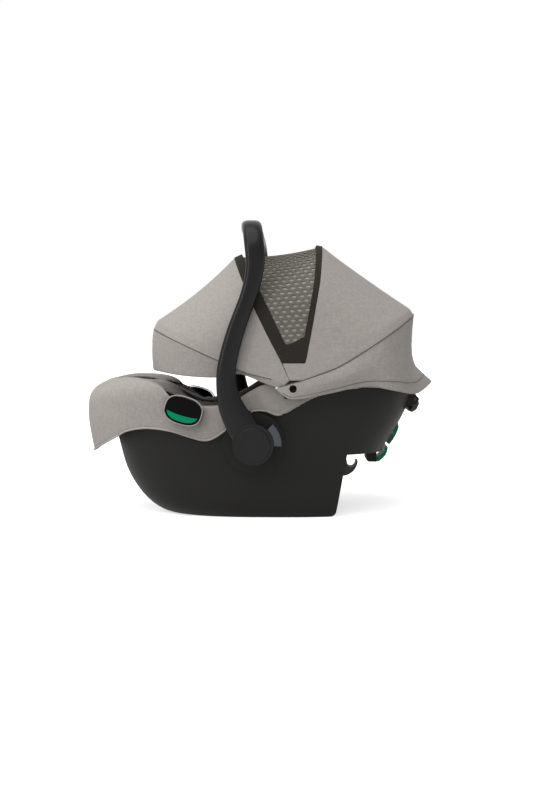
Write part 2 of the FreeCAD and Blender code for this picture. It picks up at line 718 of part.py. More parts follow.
def cover_blank(outset):
    """The cover's outside, or with less outset its inside."""
    inner = COVER_GAP + size("cover_thick") - outset
    below, above = (APRON[0][0] - 20, APRON[0][1]), (APRON[-1][0] + 30, APRON[-1][1])
    rings = []
    for z, x in (below, *APRON, above):
        rings.append(oval(x + inner, head_x(z) + outset, half_width(z) + outset, z,
                          FOOT_BLUNT, HEAD_BLUNT))
    return skin(rings)


def above_curve(points):
    """Everything above a smooth side-view curve."""
    return below_curve(points, drop=900.0)


# ---------------------------------------------------------------- canopy

pivot = Vector(size("canopy_x"), 0, size("canopy_z"))
CORNER = 120.0     # outer corner radius of the bows
layer = size("bow_thick") + size("bow_gap")
cloth_inner = size("bow_start") + 3 * layer
MOUNT_HALF = 15.0
MOUNT_LOW, MOUNT_HIGH = 228.0, 259.0
mount_face = size("bow_start") - layer - size("slack")


def at_angle(degrees):
    """Turns a bow's own frame, whose X axis is its reach, to an angle above the head end."""
    return Placement(pivot, Rotation(Vector(0, 1, 0), -degrees))


def bow_outline(reach, start, near, thick):
    """A flat U in the bow's own frame, from its start out to its reach."""
    def run(out, half, r):
        bend = r * (1 - math.sqrt(0.5))
        return [(start, -half), (out - r, -half), (out - bend, -half + bend, 0), (out, -half + r),
                (out, half - r), (out - bend, half - bend, 0), (out - r, half), (start, half)]
    outer = run(reach, near + thick, CORNER)
    inner = run(reach - thick, near, CORNER - thick)
    return outer + inner[::-1]


def bow(label, reach, angle, near):
    """A canopy bow: a flat strip bent to a U, with an eye at the end of each leg."""
    body = new_body(label)
    sketch = new_sketch(body, "XY_Plane", "-Sizes.bow_width / 2")
    add_outline(sketch, bow_outline(reach, 0, near, size("bow_thick")))
    pad(body, sketch, "Sizes.bow_width")
    for side in (-1, 1):
        for kind, radius in (("PartDesign::Pad", "Sizes.eye_radius"),
                             ("PartDesign::Pocket", "Sizes.canopy_pin + 0.1")):
            eye = new_sketch(body, offset=str(near if side < 0 else -near))
            eye.addGeometry(Part.Circle(Vector(), Vector(0, 0, 1), 5))
            eye.addConstraint(Sketcher.Constraint("Coincident", 0, 3, -1, 1))
            eye.addConstraint(Sketcher.Constraint("Radius", 0, 5.0))
            eye.setExpression("Constraints[1]", radius)
            cuts = kind.endswith("Pocket")
            pad(body, eye, "Sizes.bow_thick", away=(side > 0) != cuts, kind=kind)
    body.Placement = at_angle(angle)
    return body


def u_wire(reach, angle, shift, start):
    """The edge of a cloth panel beside a bow, as a closed thin U."""
    spots = bow_outline(reach + size("cloth"), start, cloth_inner, size("cloth"))
    place = at_angle(angle)
    corners = [place.multVec(Vector(p[0], p[1], shift)) for p in spots]
    edges, i = [], 0
    while i < len(spots):
        after = (i + 1) % len(spots)
        if len(spots[after]) == 3:
            end = (i + 2) % len(spots)
            edges.append(Part.Arc(corners[i], corners[after], corners[end]).toShape())
            i += 2
        else:
            edges.append(Part.LineSegment(corners[i], corners[after]).toShape())
            i += 1
    return Part.Wire(edges)


beside = size("bow_width") / 2 + size("slack")


def panel(label, *edges):
    """A cloth panel through its edges, each (reach, angle, shift off the bow's plane)."""
    feature(label, loft([u_wire(*edge, size("panel_start")) for edge in edges], len(edges) == 2))


BOWS = (("canopy_rear_bow", "rear", 0), ("canopy_mid_rear_bow", "mid_rear", 1),
        ("canopy_mid_front_bow", "mid_front", 2), ("canopy_front_bow", "front", 3))
for label, word, place in BOWS:
    bow(label, size(f"{word}_reach"), size(f"{word}_angle"), size("bow_start") + (place - 1) * layer)
rear_edge = (size("rear_reach"), size("rear_angle"))
mid_rear_edge = (size("mid_rear_reach"), size("mid_rear_angle"))
mid_front_edge = (size("mid_front_reach"), size("mid_front_angle"))
front_edge = (size("front_reach"), size("front_angle"))
panel("canopy_rear_panel", (*rear_edge, beside), (*mid_rear_edge, -beside))
panel("canopy_window", (*mid_rear_edge, beside), (*mid_front_edge, -beside))
panel("canopy_front_panel", (*mid_front_edge, beside), (*front_edge, -beside))
panel("canopy_visor", (*front_edge, beside), (size("hem_reach"), size("hem_angle"), 0))
WAIST_ANGLE, TAIL_ANGLE = 13.0, -4.0
panel("canopy_skirt", (*rear_edge, -beside), (size("tail_waist"), WAIST_ANGLE, 0),
      (size("tail_reach"), TAIL_ANGLE, 0))

PIVOT = ("Sizes.canopy_x", "Sizes.canopy_z")
mount_rooms = []
for name, side in SIDES:
    low_y = hub_wall
    block = Part.makeBox(2 * MOUNT_HALF, mount_face - low_y, MOUNT_HIGH - MOUNT_LOW,
                         Vector(pivot.x - MOUNT_HALF, low_y if side > 0 else -mount_face, MOUNT_LOW))
    block = block.makeFillet(6, [e for e in block.Edges if abs(e.tangentAt(0).y) > 0.9])
    grown = size("slack")
    mount_rooms.append(Part.makeBox(2 * MOUNT_HALF + 2 * grown, FAR, MOUNT_HIGH - MOUNT_LOW + 2 * grown,
                                    Vector(pivot.x - MOUNT_HALF - grown,
                                           low_y if side > 0 else -FAR - low_y, MOUNT_LOW - grown)))
    mount = block.cut(bucket(-0.05, 0.0)).fuse(
        across(size("canopy_pin"), pivot.x, pivot.z, mount_face - 2, cloth_inner, side))
    feature(f"canopy_mount_{name}", mount)
    disc_body(f"canopy_pivot_cap_{name}", side, [
        (*PIVOT, "7.5", str(cloth_inner), "Sizes.hub_inner - 0.4")])

# ---------------------------------------------------------------- belt guides


def tilted_oval(long, short, near, far, side, shift=0.0):
    """A tilted oval plate at the lap belt guide, between two distances from the middle plane."""
    points = []
    for i in range(24):
        turn = 2 * math.pi * i / 24
        c, s = math.cos(turn), math.sin(turn)
        points.append(Vector(long * math.copysign(abs(c) ** 0.8, c), 0,
                             short * math.copysign(abs(s) ** 0.8, s) + shift))
    curve = Part.BSplineCurve()
    curve.interpolate(Points=points, PeriodicFlag=True)
    plate = Part.Face(Part.Wire([curve.toShape()])).extrude(Vector(0, side * (far - near), 0))
    plate.rotate(Vector(), Vector(0, 1, 0), size("lap_tilt"))
    plate.translate(Vector(size("lap_x"), side * near, size("lap_z")))
    return plate


GUIDE_WALL = 3.2   # wall round the lap belt guide
CRESCENT = 21.0    # how far down the green crescent's upper edge curves
lap_face, lap_back = size("lap_face"), size("lap_face") - size("lap_plate")
lap_long, lap_short = size("lap_long"), size("lap_short")
lap_holes = []
for name, side in SIDES:
    deep = hub_wall
    full = tilted_oval(lap_long, lap_short, deep, lap_face, side)
    middle = tilted_oval(lap_long - GUIDE_WALL, lap_short - GUIDE_WALL, deep - 1, lap_face + 1, side)
    upper = tilted_oval(lap_long + 20, lap_short + 6, deep - 2, lap_face + 2, side, CRESCENT)
    ear = full.common(upper).common(tilted_oval(lap_long, lap_short, lap_back, lap_face, side))
    wall = full.cut(middle).cut(tilted_oval(lap_long + 20, 40, deep - 2, lap_back, side, 40 + 4))
    ear = ear.fuse(wall).cut(bucket(-0.05, 0.0))
    feature(f"lap_belt_ear_{name}", ear)
    inner = tilted_oval(lap_long - GUIDE_WALL - 0.2, lap_short - GUIDE_WALL - 0.2, deep, lap_face, side)
    lower = tilted_oval(lap_long + 20.3, lap_short + 6.3, deep - 2, lap_face + 2, side, CRESCENT)
    face = inner.cut(lower).cut(tilted_oval(60, 60, deep - 2, lap_back, side))
    foot = inner.cut(tilted_oval(60, 40, deep - 2, lap_face + 2, side, 40 - lap_short + 9))
    foot = foot.common(tilted_oval(60, 60, deep - 3, lap_back + 0.5, side)).cut(lower)
    feature(f"lap_belt_hook_{name}", face.fuse(foot).cut(bucket(-0.05, 0.0)))
    lap_holes.append(tilted_oval(lap_long + size("slack"), lap_short + size("slack"), deep, FAR, side))

GUIDE_GAP = 4.0    # room for the belt behind the shoulder belt guide
GUIDE_ROOT = 157.0
outer_line = [(head_x(GUIDE_ROOT + 14) - inside / 2, GUIDE_ROOT + 14)]
outer_line += [(head_x(z) + GUIDE_GAP + size("guide_thick") * share, z)
               for z, share in ((163, 0.1), (156, 0.55), (148, 0.9), (139, 1), (130, 0.8))]
inner_line = [(head_x(GUIDE_ROOT) - inside / 2, GUIDE_ROOT), (head_x(148) + GUIDE_GAP, 148),
              (head_x(130) + GUIDE_GAP, 130)]
guide_blank = bucket(-0.05, 0.0).cut(arch(-0.05))
half = size("guide_half")
feature("shoulder_belt_hook_upper",
        prism(outer_line + inner_line[::-1], -half, half).cut(guide_blank))
low_z = size("head_low_z")
low_x = head_x(low_z)
hook_line = ((-11.7, -18.5), (-11.7, -22.5), (-7, -22), (0, -16), (5.7, -10), (8.5, -3), (10, 5.8),
             (6, 5), (3, -3), (-0.6, -8.2), (-6, -14))
lower_points = [(low_x + x, low_z + z) for x, z in hook_line]
bracket = prism([(low_x - 33, low_z + 1), (low_x - 31, low_z - 20), (low_x - 27, low_z - 23),
                 (low_x - 12, low_z - 23), (low_x - 12, low_z + 1)], -half, half)
feature("shoulder_belt_hook_lower", prism(lower_points, -half, half).cut(guide_blank))

# ---------------------------------------------------------------- base latch and release lever

BOLT_LOW, BOLT_HIGH, BOLT_START = 66.0, 98.0, 118.0
BOLT_REACH = 31.5  # how far the latch's claw stands out of the rear wall

bolt_tip = wall_x(88) + BOLT_REACH
bolt = new_body("base_latch_bolt")
sketch = new_sketch(bolt, offset="-Sizes.latch_half")
add_outline(sketch, [(BOLT_START, BOLT_LOW), (bolt_tip - 27, BOLT_LOW), (bolt_tip - 8, BOLT_LOW + 10, 0),
                     (bolt_tip, BOLT_LOW + 29), (bolt_tip - 4, BOLT_LOW + 28),
                     (bolt_tip - 10, BOLT_LOW + 17, 0), (bolt_tip - 20, BOLT_LOW + 22),
                     (bolt_tip - 22, BOLT_HIGH), (BOLT_START, BOLT_HIGH)])
pad(bolt, sketch, "2 * Sizes.latch_half")
for word in ("front", "rear"):
    bar = new_body(f"{word}_lock_bar")
    sketch = new_sketch(bar, offset=str(-bar_end))
    add_circle(sketch, f"Sizes.{word}_bar_x", "Sizes.bar_z", "Sizes.bar_radius")
    pad(bar, sketch, str(2 * bar_end))

SPRING_LONG = 30.0
coil = Part.makeHelix(4.2, SPRING_LONG - 1.6, 6)
section = Part.Wire(Part.makeCircle(0.8, Vector(6, 0, 0), Vector(0, 1, 0)))
spring = Part.Wire(coil).makePipeShell([section], True, True)
spring.rotate(Vector(), Vector(0, 1, 0), 90)
spring.translate(Vector(BOLT_START - SPRING_LONG + 0.8, 0, (BOLT_LOW + BOLT_HIGH) / 2))
feature("latch_spring", spring)

LEVER_EYE = 6.0
lever_axis = Vector(head_x(218) + 7.5, 0, 218)


def lever_points():
    """The release lever in side view: an eye round its pin and a hooked finger grip."""
    x, z = lever_axis.x, lever_axis.z
    return [(x - LEVER_EYE, z), (x, z + LEVER_EYE, 0), (x + LEVER_EYE, z), (x + 8, z - 9),
            (x + 3, z - 20), (x - 5, z - 25), (x - 10, z - 24), (x - 9, z - 20.5), (x - 3, z - 15),
            (x - 2, z - 7)]


lever_half = size("lever_half")
lever = new_body("release_lever")
sketch = new_sketch(lever, offset="-Sizes.lever_half")
add_outline(sketch, lever_points())
pad(lever, sketch, "2 * Sizes.lever_half")
bore = new_sketch(lever, offset="-Sizes.lever_half - 1")
add_circle(bore, str(lever_axis.x), str(lever_axis.z), "Sizes.lever_pin + 0.05")
pad(lever, bore, "2 * Sizes.lever_half + 2", away=True, kind="PartDesign::Pocket")
LUG_THICK = 5.0
lug_far = lever_half + 0.5 + LUG_THICK
pin = new_body("release_lever_pin")
sketch = new_sketch(pin, offset=str(-lug_far))
add_circle(sketch, str(lever_axis.x), str(lever_axis.z), "Sizes.lever_pin")
pad(pin, sketch, str(2 * lug_far))

# ---------------------------------------------------------------- the shell's last cuts

lug_outline = [(lever_axis.x - 34, 240), (lever_axis.x, 228), (lever_axis.x + 8, 218),
               (lever_axis.x, 208), (lever_axis.x - 34, 196)]
lugs = []
for _, side in SIDES:
    low_y, high_y = lever_half + 0.5, lug_far
    lugs.append(prism(lug_outline, *sorted((side * low_y, side * high_y))))
shell = shell.fuse([lug.cut(bucket(inside, inside)) for lug in lugs] + [bracket])
post = Part.makeBox(6, 16, BOLT_HIGH - size("pocket_deep"),
                    Vector(BOLT_START - SPRING_LONG - 6, -8, size("pocket_deep")))
bolt_gap = size("slack")
bolt_room = Part.makeBox(FAR, 2 * (size("latch_half") + bolt_gap), BOLT_HIGH - BOLT_LOW + 2 * bolt_gap,
                         Vector(BOLT_START, -size("latch_half") - bolt_gap, BOLT_LOW - bolt_gap))
pin_bore = rod(size("lever_pin") + 0.05, lever_axis - Vector(0, lug_far + 1, 0),
               lever_axis + Vector(0, lug_far + 1, 0))
shell = shell.fuse(post).cut([bolt_room.common(prism([(wall_x(0) - 20, 60), (wall_x(0) + 60, 60),
                                                      (wall_x(0) + 60, 110), (wall_x(0) - 20, 110)])),
                              pin_bore])
NODES["outer_shell"].Shape = shell

# ---------------------------------------------------------------- liner, pads and cover

bolt_sweep = Part.makeBox(FAR, 2 * (size("latch_half") + 2), BOLT_HIGH + 2,
                          Vector(BOLT_START - SPRING_LONG - 8, -size("latch_half") - 2, 0))
SLOT_DEEP = 16.0   # size along the seat of the slots for the shoulder straps
SLOT_SPARE = 4.0   # how much wider than the strap a slot is
strap_slots = [Part.makeBox(SLOT_DEEP, size("strap_wide") + SLOT_SPARE, FAR,
                            Vector(size("slot_x") - SLOT_DEEP / 2,
                                   side * size("strap_y") - (size("strap_wide") + SLOT_SPARE) / 2,
                                   0)) for _, side in SIDES]
crotch_slot = Part.makeBox(10, size("strap_wide") + SLOT_SPARE, FAR,
                           Vector(size("buckle_x") - 16, -(size("strap_wide") + SLOT_SPARE) / 2, 0))
slots = strap_slots + [crotch_slot]
yoke_z = BOLT_HIGH + 5
yoke_half = size("strap_y") + size("strap_wide") / 2 + 4
yoke_room = Part.makeBox(22, 2 * yoke_half + 2, yoke_z + 5,
                         Vector(size("slot_x") - 9, -yoke_half - 1, 0))

liner = well(-size("liner_thick")).common(bucket(inside + 0.8, inside + 0.8))
liner = liner.common(below_curve(rim_points(-2)))
liner = liner.cut([well(0), arch(inside + 0.8)])
liner = liner.cut([bolt_sweep.common(below_curve([(-FAR, BOLT_HIGH + 2), (0, BOLT_HIGH + 2),
                                                  (FAR, BOLT_HIGH + 2)])), yoke_room] + slots)
nut_room = [hub_bar(NUT_RADIUS + 3, hub_wall - 12, hub_wall + 3, side) for _, side in SIDES]
liner = liner.cut(nut_room)
feature("foam_liner", liner)

seat_pad = well(size("slack")).common(below_curve([(x, z - 7) for x, z in COVER_TOP]))
seat_pad = seat_pad.cut([well(size("slack") + PAD_THICK)] + slots)
feature("seat_pad", seat_pad)
insert_inset = 2 * size("slack") + PAD_THICK
INSERT_FRONT, INSERT_REAR, INSERT_TOP = -118.0, 166.0, 190.0
insert_room = Part.makeBox(INSERT_REAR - INSERT_FRONT, 2 * FAR, INSERT_TOP,
                           Vector(INSERT_FRONT, -FAR, 0))
insert = well(insert_inset).common(insert_room)
insert = insert.cut([well(insert_inset + size("insert_thick"))] + slots)
feature("body_insert", insert)
pillow_room = Part.makeBox(FAR, 2 * size("pillow_half"), 222, Vector(size("pillow_start"),
                                                                    -size("pillow_half"), 0))
pillow = well(insert_inset).common(pillow_room).cut(well(insert_inset + size("pillow_thick")))
feature("head_pillow", pillow)

outer_skin = COVER_GAP + size("cover_thick")
blank = cover_blank(outer_skin)
band = blank.cut(cover_blank(COVER_GAP)).common(above_curve(HEM)).common(below_curve(COVER_TOP))
roll = blank.common(below_curve(COVER_TOP)).common(above_curve(rim_points(0.5))).cut(well(0))
leg_room = []
for _, side in SIDES:
    far_y = size("bow_start") + size("slack")
    near_y = size("bow_start") - layer - size("slack")
    leg = Part.makeBox(200, far_y - near_y, size("bow_width") + 2 * size("slack"),
                       Vector(0, near_y if side > 0 else -far_y, -size("bow_width") / 2 - size("slack")))
    leg.Placement = at_angle(size("rear_angle")).multiply(leg.Placement)
    leg_room.append(leg)
hub_room = [hub_bar(size("shoulder_radius") + size("slack"), hub_wall, FAR, side) for _, side in SIDES]
cover = band.fuse(roll).cut(mount_rooms + leg_room + lap_holes + hub_room)
feature("seat_cover", cover)

# ---------------------------------------------------------------- harness

REST = 0.3  # gap under what lies on the padding
webbing = size("strap_thick")
insert_top = insert_inset + size("insert_thick")


def ribbon(spots, thick, wide):
    """A flat strip whose middle passes through the spots, square to the side view."""
    wires = []
    for i, spot in enumerate(spots):
        along = spots[min(i + 1, len(spots) - 1)] - spots[max(i - 1, 0)]
        side_way = Vector(0, 1, 0)
        up = along.cross(side_way).normalize() * (-thick / 2)
        out = side_way * (wide / 2)
        wires.append(Part.makePolygon([spot + up + out, spot + up - out, spot - up - out,
                                       spot - up + out, spot + up + out]))
    return loft(wires, True)


def seat_spot(x, y, lift, inset):
    """A point above the seat's surface, clear of it across a strap's width."""
    edge = abs(y) + size("strap_wide") / 2
    return Vector(x, y, seat_height(x, edge, inset) + lift)


buckle_x = size("buckle_x")
buckle_long, buckle_wide, buckle_thick = size("buckle_long"), size("buckle_wide"), size("buckle_thick")
buckle_z = seat_height(buckle_x, buckle_wide / 2, insert_top) + REST + buckle_thick / 2
buckle_head = buckle_x + buckle_long
TONGUE_Y = 13.0
TONGUE_IN, TONGUE_OUT, TONGUE_WIDE, TONGUE_THICK = 18.0, 26.0, 20.0, 2.4
CLIP_HALF, CLIP_THICK = 15.0, 8.0
STRAP_LIFT = 8.0   # middle of the webbing above the body insert, over the pads' foam

housing = Part.makeBox(buckle_long, buckle_wide, buckle_thick,
                       Vector(buckle_x, -buckle_wide / 2, buckle_z - buckle_thick / 2))
housing = housing.makeFillet(6, [e for e in housing.Edges if abs(e.tangentAt(0).z) > 0.9])
housing = housing.makeFillet(3, [e for e in housing.Edges
                                 if abs(abs(e.CenterOfMass.z - buckle_z) - buckle_thick / 2) < 0.01])
BUTTON_LONG, BUTTON_WIDE, BUTTON_DEEP, BUTTON_PROUD = 24.0, 30.0, 6.0, 1.5
button_x = buckle_x + 10
button_z = buckle_z + buckle_thick / 2 + BUTTON_PROUD
button = Part.makeBox(BUTTON_LONG, BUTTON_WIDE, BUTTON_DEEP,
                      Vector(button_x, -BUTTON_WIDE / 2, button_z - BUTTON_DEEP))
button = button.makeFillet(1.2, [e for e in button.Edges if e.CenterOfMass.z > button_z - 0.1])
BUCKLE_TRAVEL = 3.0
room = Part.makeBox(BUTTON_LONG + 1, BUTTON_WIDE + 1, FAR,
                    Vector(button_x - 0.5, -BUTTON_WIDE / 2 - 0.5,
                           button_z - BUTTON_DEEP - BUCKLE_TRAVEL - 0.5))
housing = housing.cut(room)
for name, side in SIDES:
    tongue_room = Part.makeBox(TONGUE_IN, TONGUE_WIDE + 0.6, TONGUE_THICK + 0.6,
                               Vector(buckle_head - TONGUE_IN + 0.3, side * TONGUE_Y - TONGUE_WIDE / 2 - 0.3,
                                      buckle_z - TONGUE_THICK / 2 - 0.3))
    housing = housing.cut(tongue_room)
crotch_mouth = Part.makeBox(12, size("strap_wide") + 1, webbing + 1.2,
                            Vector(buckle_x - 1, -size("strap_wide") / 2 - 0.5,
                                   buckle_z - webbing / 2 - 0.6))
feature("buckle_housing", housing.cut(crotch_mouth))
feature("buckle_button", button)
crotch_spots = [Vector(buckle_x - 11, 0, seat_z) for seat_z in (size("seat_z") + 1, size("seat_z") + 24)]
crotch_spots += [Vector(buckle_x - 8, 0, buckle_z - 3), Vector(buckle_x - 2, 0, buckle_z),
                 Vector(buckle_x + 10, 0, buckle_z)]
feature("crotch_strap", ribbon(crotch_spots, webbing, size("strap_wide") - 4))

for name, side in SIDES:
    tongue = Part.makeBox(TONGUE_IN + TONGUE_OUT, TONGUE_WIDE, TONGUE_THICK,
                          Vector(buckle_head - TONGUE_IN + 0.6, side * TONGUE_Y - TONGUE_WIDE / 2,
                                 buckle_z - TONGUE_THICK / 2))
    tongue = tongue.makeFillet(3, [e for e in tongue.Edges if abs(e.tangentAt(0).z) > 0.9])
    slit = Part.makeBox(webbing + 4, TONGUE_WIDE - 6, 10,
                        Vector(buckle_head + TONGUE_OUT - 11, side * TONGUE_Y - TONGUE_WIDE / 2 + 3,
                               buckle_z - 5))
    feature(f"buckle_tongue_{name}", tongue.cut(slit))
    start_x = buckle_head + TONGUE_OUT + 2
    slot_x, slot_y = size("slot_x"), side * size("strap_y")
    spots = []
    for share in (0, 0.25, 0.5, 0.75, 0.92):
        x = start_x + (slot_x - start_x) * share
        y = side * TONGUE_Y * 1.7 + (slot_y - side * TONGUE_Y * 1.7) * share
        spots.append(seat_spot(x, y, STRAP_LIFT, insert_top))
    spots.append(Vector(slot_x, slot_y, spots[-1].z + 2))
    spots.append(Vector(slot_x + 3, slot_y, spots[-2].z - 14))
    spots.append(Vector(slot_x + 3, slot_y, yoke_z + 4))
    strap = ribbon(spots, webbing, size("strap_wide"))
    feature(f"shoulder_strap_{name}", strap)
    pad_spots = spots[2:5]
    shoulder_pad = ribbon(pad_spots, webbing + 7, size("strap_wide") + 10)
    shoulder_pad = shoulder_pad.cut(ribbon(spots[1:6], webbing + 0.8, size("strap_wide") + 0.8))
    feature(f"shoulder_pad_{name}", shoulder_pad)
    # the chest clip's half on this strap
    clip_x = size("clip_x")
    share = (clip_x - start_x) / (slot_x - start_x)
    clip_y = side * TONGUE_Y * 1.7 + (slot_y - side * TONGUE_Y * 1.7) * share
    clip_wide = abs(clip_y) + size("strap_wide") / 2 + 5
    clip_spots = []
    for step in (-CLIP_HALF, CLIP_HALF):
        spot = seat_spot(clip_x + step, clip_y, STRAP_LIFT, insert_top)
        clip_spots.append(Vector(spot.x, side * (0.15 + clip_wide / 2), spot.z))
    clip = ribbon(clip_spots, CLIP_THICK, clip_wide)
    clip = clip.makeFillet(1.5, [e for e in clip.Edges if abs(e.tangentAt(0).y) < 0.5])
    clip = clip.cut(ribbon(spots[:4], webbing + 0.8, size("strap_wide") + 0.8))
    feature(f"chest_clip_{name}", clip)

YOKE_THICK = 3.5
yoke = Part.makeBox(20, 2 * yoke_half, YOKE_THICK,
                    Vector(size("slot_x") - 8, -yoke_half, yoke_z + 4 - YOKE_THICK))
yoke = yoke.makeFillet(6, [e for e in yoke.Edges if abs(e.tangentAt(0).z) > 0.9])
feature("harness_yoke", yoke)

# the adjuster on the leg rest: a housing, its press button and the strap's free end
pad_top = size("slack") + PAD_THICK
adjuster_x = size("adjuster_x")
ADJUSTER_HALF, ADJUSTER_WIDE, ADJUSTER_THICK = 18.0, 40.0, 9.0


def leg_spot(x, lift):
    return Vector(x, 0, seat_height(x, ADJUSTER_WIDE / 2, pad_top) + lift)


house_spots = [leg_spot(adjuster_x + step, ADJUSTER_THICK / 2 + 1.6)
               for step in (-ADJUSTER_HALF, ADJUSTER_HALF)]
slope = house_spots[1] - house_spots[0]
slope_angle = math.degrees(math.atan2(slope.z, slope.x))
middle = (house_spots[0] + house_spots[1]) * 0.5


def on_slope(shape):
    """Turns a shape made level round the origin onto the leg rest, at the adjuster."""
    shape.rotate(Vector(), Vector(0, 1, 0), -slope_angle)
    shape.translate(middle)
    return shape


def block(long, wide, low, high, x=0.0):
    return Part.makeBox(long, wide, high - low, Vector(x - long / 2, -wide / 2, low))


PRESS_LONG, PRESS_WIDE = 14.0, 24.0
half_thick = ADJUSTER_THICK / 2
housing = block(2 * ADJUSTER_HALF, ADJUSTER_WIDE, -half_thick, half_thick)
housing = housing.makeFillet(5, [e for e in housing.Edges if abs(e.tangentAt(0).z) > 0.9])
housing = housing.makeFillet(1.5, [e for e in housing.Edges if e.CenterOfMass.z > half_thick - 0.01])
strap_room = block(2 * ADJUSTER_HALF, size("tail_wide") + 1, -half_thick + 1.4,
                   -half_thick + 1.4 + webbing + 0.6, -4)
press_room = block(PRESS_LONG + 1, PRESS_WIDE + 1, half_thick - 5.2, FAR, 6)
feature("harness_adjuster", on_slope(housing.cut([strap_room, press_room])))
press = block(PRESS_LONG, PRESS_WIDE, half_thick - 2, half_thick + 2, 6)
press = press.makeFillet(1, [e for e in press.Edges if e.CenterOfMass.z > half_thick + 1.9])
feature("adjuster_button", on_slope(press))
tail_lift = webbing / 2 + 1.6
inner_tail = on_slope(block(24, size("tail_wide"), -half_thick + 1.8, -half_thick + 1.8 + webbing, -6))
tail_start = on_slope(Part.Vertex(-ADJUSTER_HALF, 0, -half_thick + 1.8 + webbing / 2)).Point
tail_spots = [tail_start] + [leg_spot(adjuster_x - reach, tail_lift) for reach in (34, 50, 70, 92)]
feature("adjuster_strap", ribbon(tail_spots, webbing, size("tail_wide")).fuse(inner_tail))

# ---------------------------------------------------------------- checks and export

doc.recompute()
for obj in doc.Objects:
    if "Invalid" in obj.State or "Error" in obj.State:
        raise RuntimeError(f"{obj.Name} failed: {obj.State}")
for label, obj in NODES.items():
    if obj.Shape.isNull() or not obj.Shape.isValid() or obj.Shape.Volume <= 0:
        raise RuntimeError(f"{label} has no valid solid")
os.makedirs("parts", exist_ok=True)
for label, obj in NODES.items():
    obj.Shape.exportStep(os.path.join("parts", f"{label}.step"))
print(f"{len(NODES)} parts written")
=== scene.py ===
"""Infant car seat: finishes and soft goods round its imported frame."""
import math

import bpy
import numpy as np
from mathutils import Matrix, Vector, noise
from mathutils.bvhtree import BVHTree


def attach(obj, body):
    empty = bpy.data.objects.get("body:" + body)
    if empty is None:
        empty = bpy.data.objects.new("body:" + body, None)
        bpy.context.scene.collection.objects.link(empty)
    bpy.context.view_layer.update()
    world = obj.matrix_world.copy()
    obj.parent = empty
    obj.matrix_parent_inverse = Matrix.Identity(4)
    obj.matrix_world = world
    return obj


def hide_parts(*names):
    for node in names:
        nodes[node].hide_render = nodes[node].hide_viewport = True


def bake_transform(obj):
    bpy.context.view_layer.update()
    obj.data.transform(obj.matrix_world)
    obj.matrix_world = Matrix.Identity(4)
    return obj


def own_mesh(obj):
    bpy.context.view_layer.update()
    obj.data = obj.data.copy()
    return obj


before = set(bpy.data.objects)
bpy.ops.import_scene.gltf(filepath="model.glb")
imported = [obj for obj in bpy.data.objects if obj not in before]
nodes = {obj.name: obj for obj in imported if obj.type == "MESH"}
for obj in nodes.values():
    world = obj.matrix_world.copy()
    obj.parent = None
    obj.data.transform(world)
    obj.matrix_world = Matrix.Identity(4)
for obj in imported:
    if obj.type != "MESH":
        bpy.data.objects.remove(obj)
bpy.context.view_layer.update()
scene = bpy.context.scene

# ---- studio ---------------------------------------------------------------------------------
# White paper on the floor of a white room. A broad lamp stands high at the foot end, a tall soft
# box beside it draws the long lights on the handle, and the room's even light fills the rest.


def linear(code):
    """An sRGB hex colour as linear numbers."""
    shares = [int(code[i:i + 2], 16) / 255 for i in (1, 3, 5)]
    return [c / 12.92 if c <= 0.04045 else ((c + 0.055) / 1.055) ** 2.4 for c in shares] + [1.0]


def add(tree, kind, inputs=(), **values):
    """Adds a shader node with its own values and its inputs, each a value or a link."""
    made = tree.nodes.new("ShaderNode" + kind)
    for name, value in values.items():
        setattr(made, name, value)
    for name, value in dict(inputs).items():
        if isinstance(value, bpy.types.NodeSocket):
            tree.links.new(value, made.inputs[name])
        else:
            made.inputs[name].default_value = value
    return made


def start_tree(owner):
    owner.use_nodes = True
    owner.node_tree.nodes.clear()
    return owner.node_tree


ROOM_FILL = 0.42     # strength of the white room
PAPER_LIFT = 0.62    # glow that brings the seen paper up to white
world = bpy.data.worlds.new("white room")
scene.world = world
paper = bpy.data.materials.new("white_paper")
for owner in (world, paper):    # white where they are seen, and plainer where they only light
    tree = start_tree(owner)
    path = add(tree, "LightPath").outputs
    shown = add(tree, "Math", {0: path["Is Camera Ray"], 1: path["Is Glossy Ray"]},
                operation="MAXIMUM")
    shown = add(tree, "Math", {0: shown.outputs[0], 1: path["Is Transmission Ray"]},
                operation="MAXIMUM")
    if owner is world:
        fill = add(tree, "Background", {"Color": linear("#FFFFFF"), "Strength": ROOM_FILL})
        seen = add(tree, "Background", {"Color": linear("#FFFFFF"), "Strength": 1.0})
        mixed = add(tree, "MixShader", {0: shown.outputs[0], 1: fill.outputs[0],
                                        2: seen.outputs[0]})
        add(tree, "OutputWorld", {"Surface": mixed.outputs[0]})
    else:
        glow = add(tree, "Emission", {"Color": linear("#FFFFFF"), "Strength": PAPER_LIFT})
        bright = add(tree, "BsdfDiffuse", {"Color": linear("#F9F9F9")})
        seen = add(tree, "AddShader", {0: glow.outputs[0], 1: bright.outputs[0]})
        dull = add(tree, "BsdfDiffuse", {"Color": linear("#BEBEBE")})
        mixed = add(tree, "MixShader", {0: shown.outputs[0], 1: dull.outputs[0],
                                        2: seen.outputs[0]})
        add(tree, "OutputMaterial", {"Surface": mixed.outputs[0]})

FLOOR_HALF = 30.0
FLOOR_DROP = 0.0003
floor_mesh = bpy.data.meshes.new("floor")
floor_mesh.from_pydata([(x * FLOOR_HALF, y * FLOOR_HALF, -FLOOR_DROP)
                        for x, y in ((-1, -1), (1, -1), (1, 1), (-1, 1))], [], [(0, 1, 2, 3)])
floor_mesh.materials.append(paper)
floor = bpy.data.objects.new("floor", floor_mesh)
scene.collection.objects.link(floor)

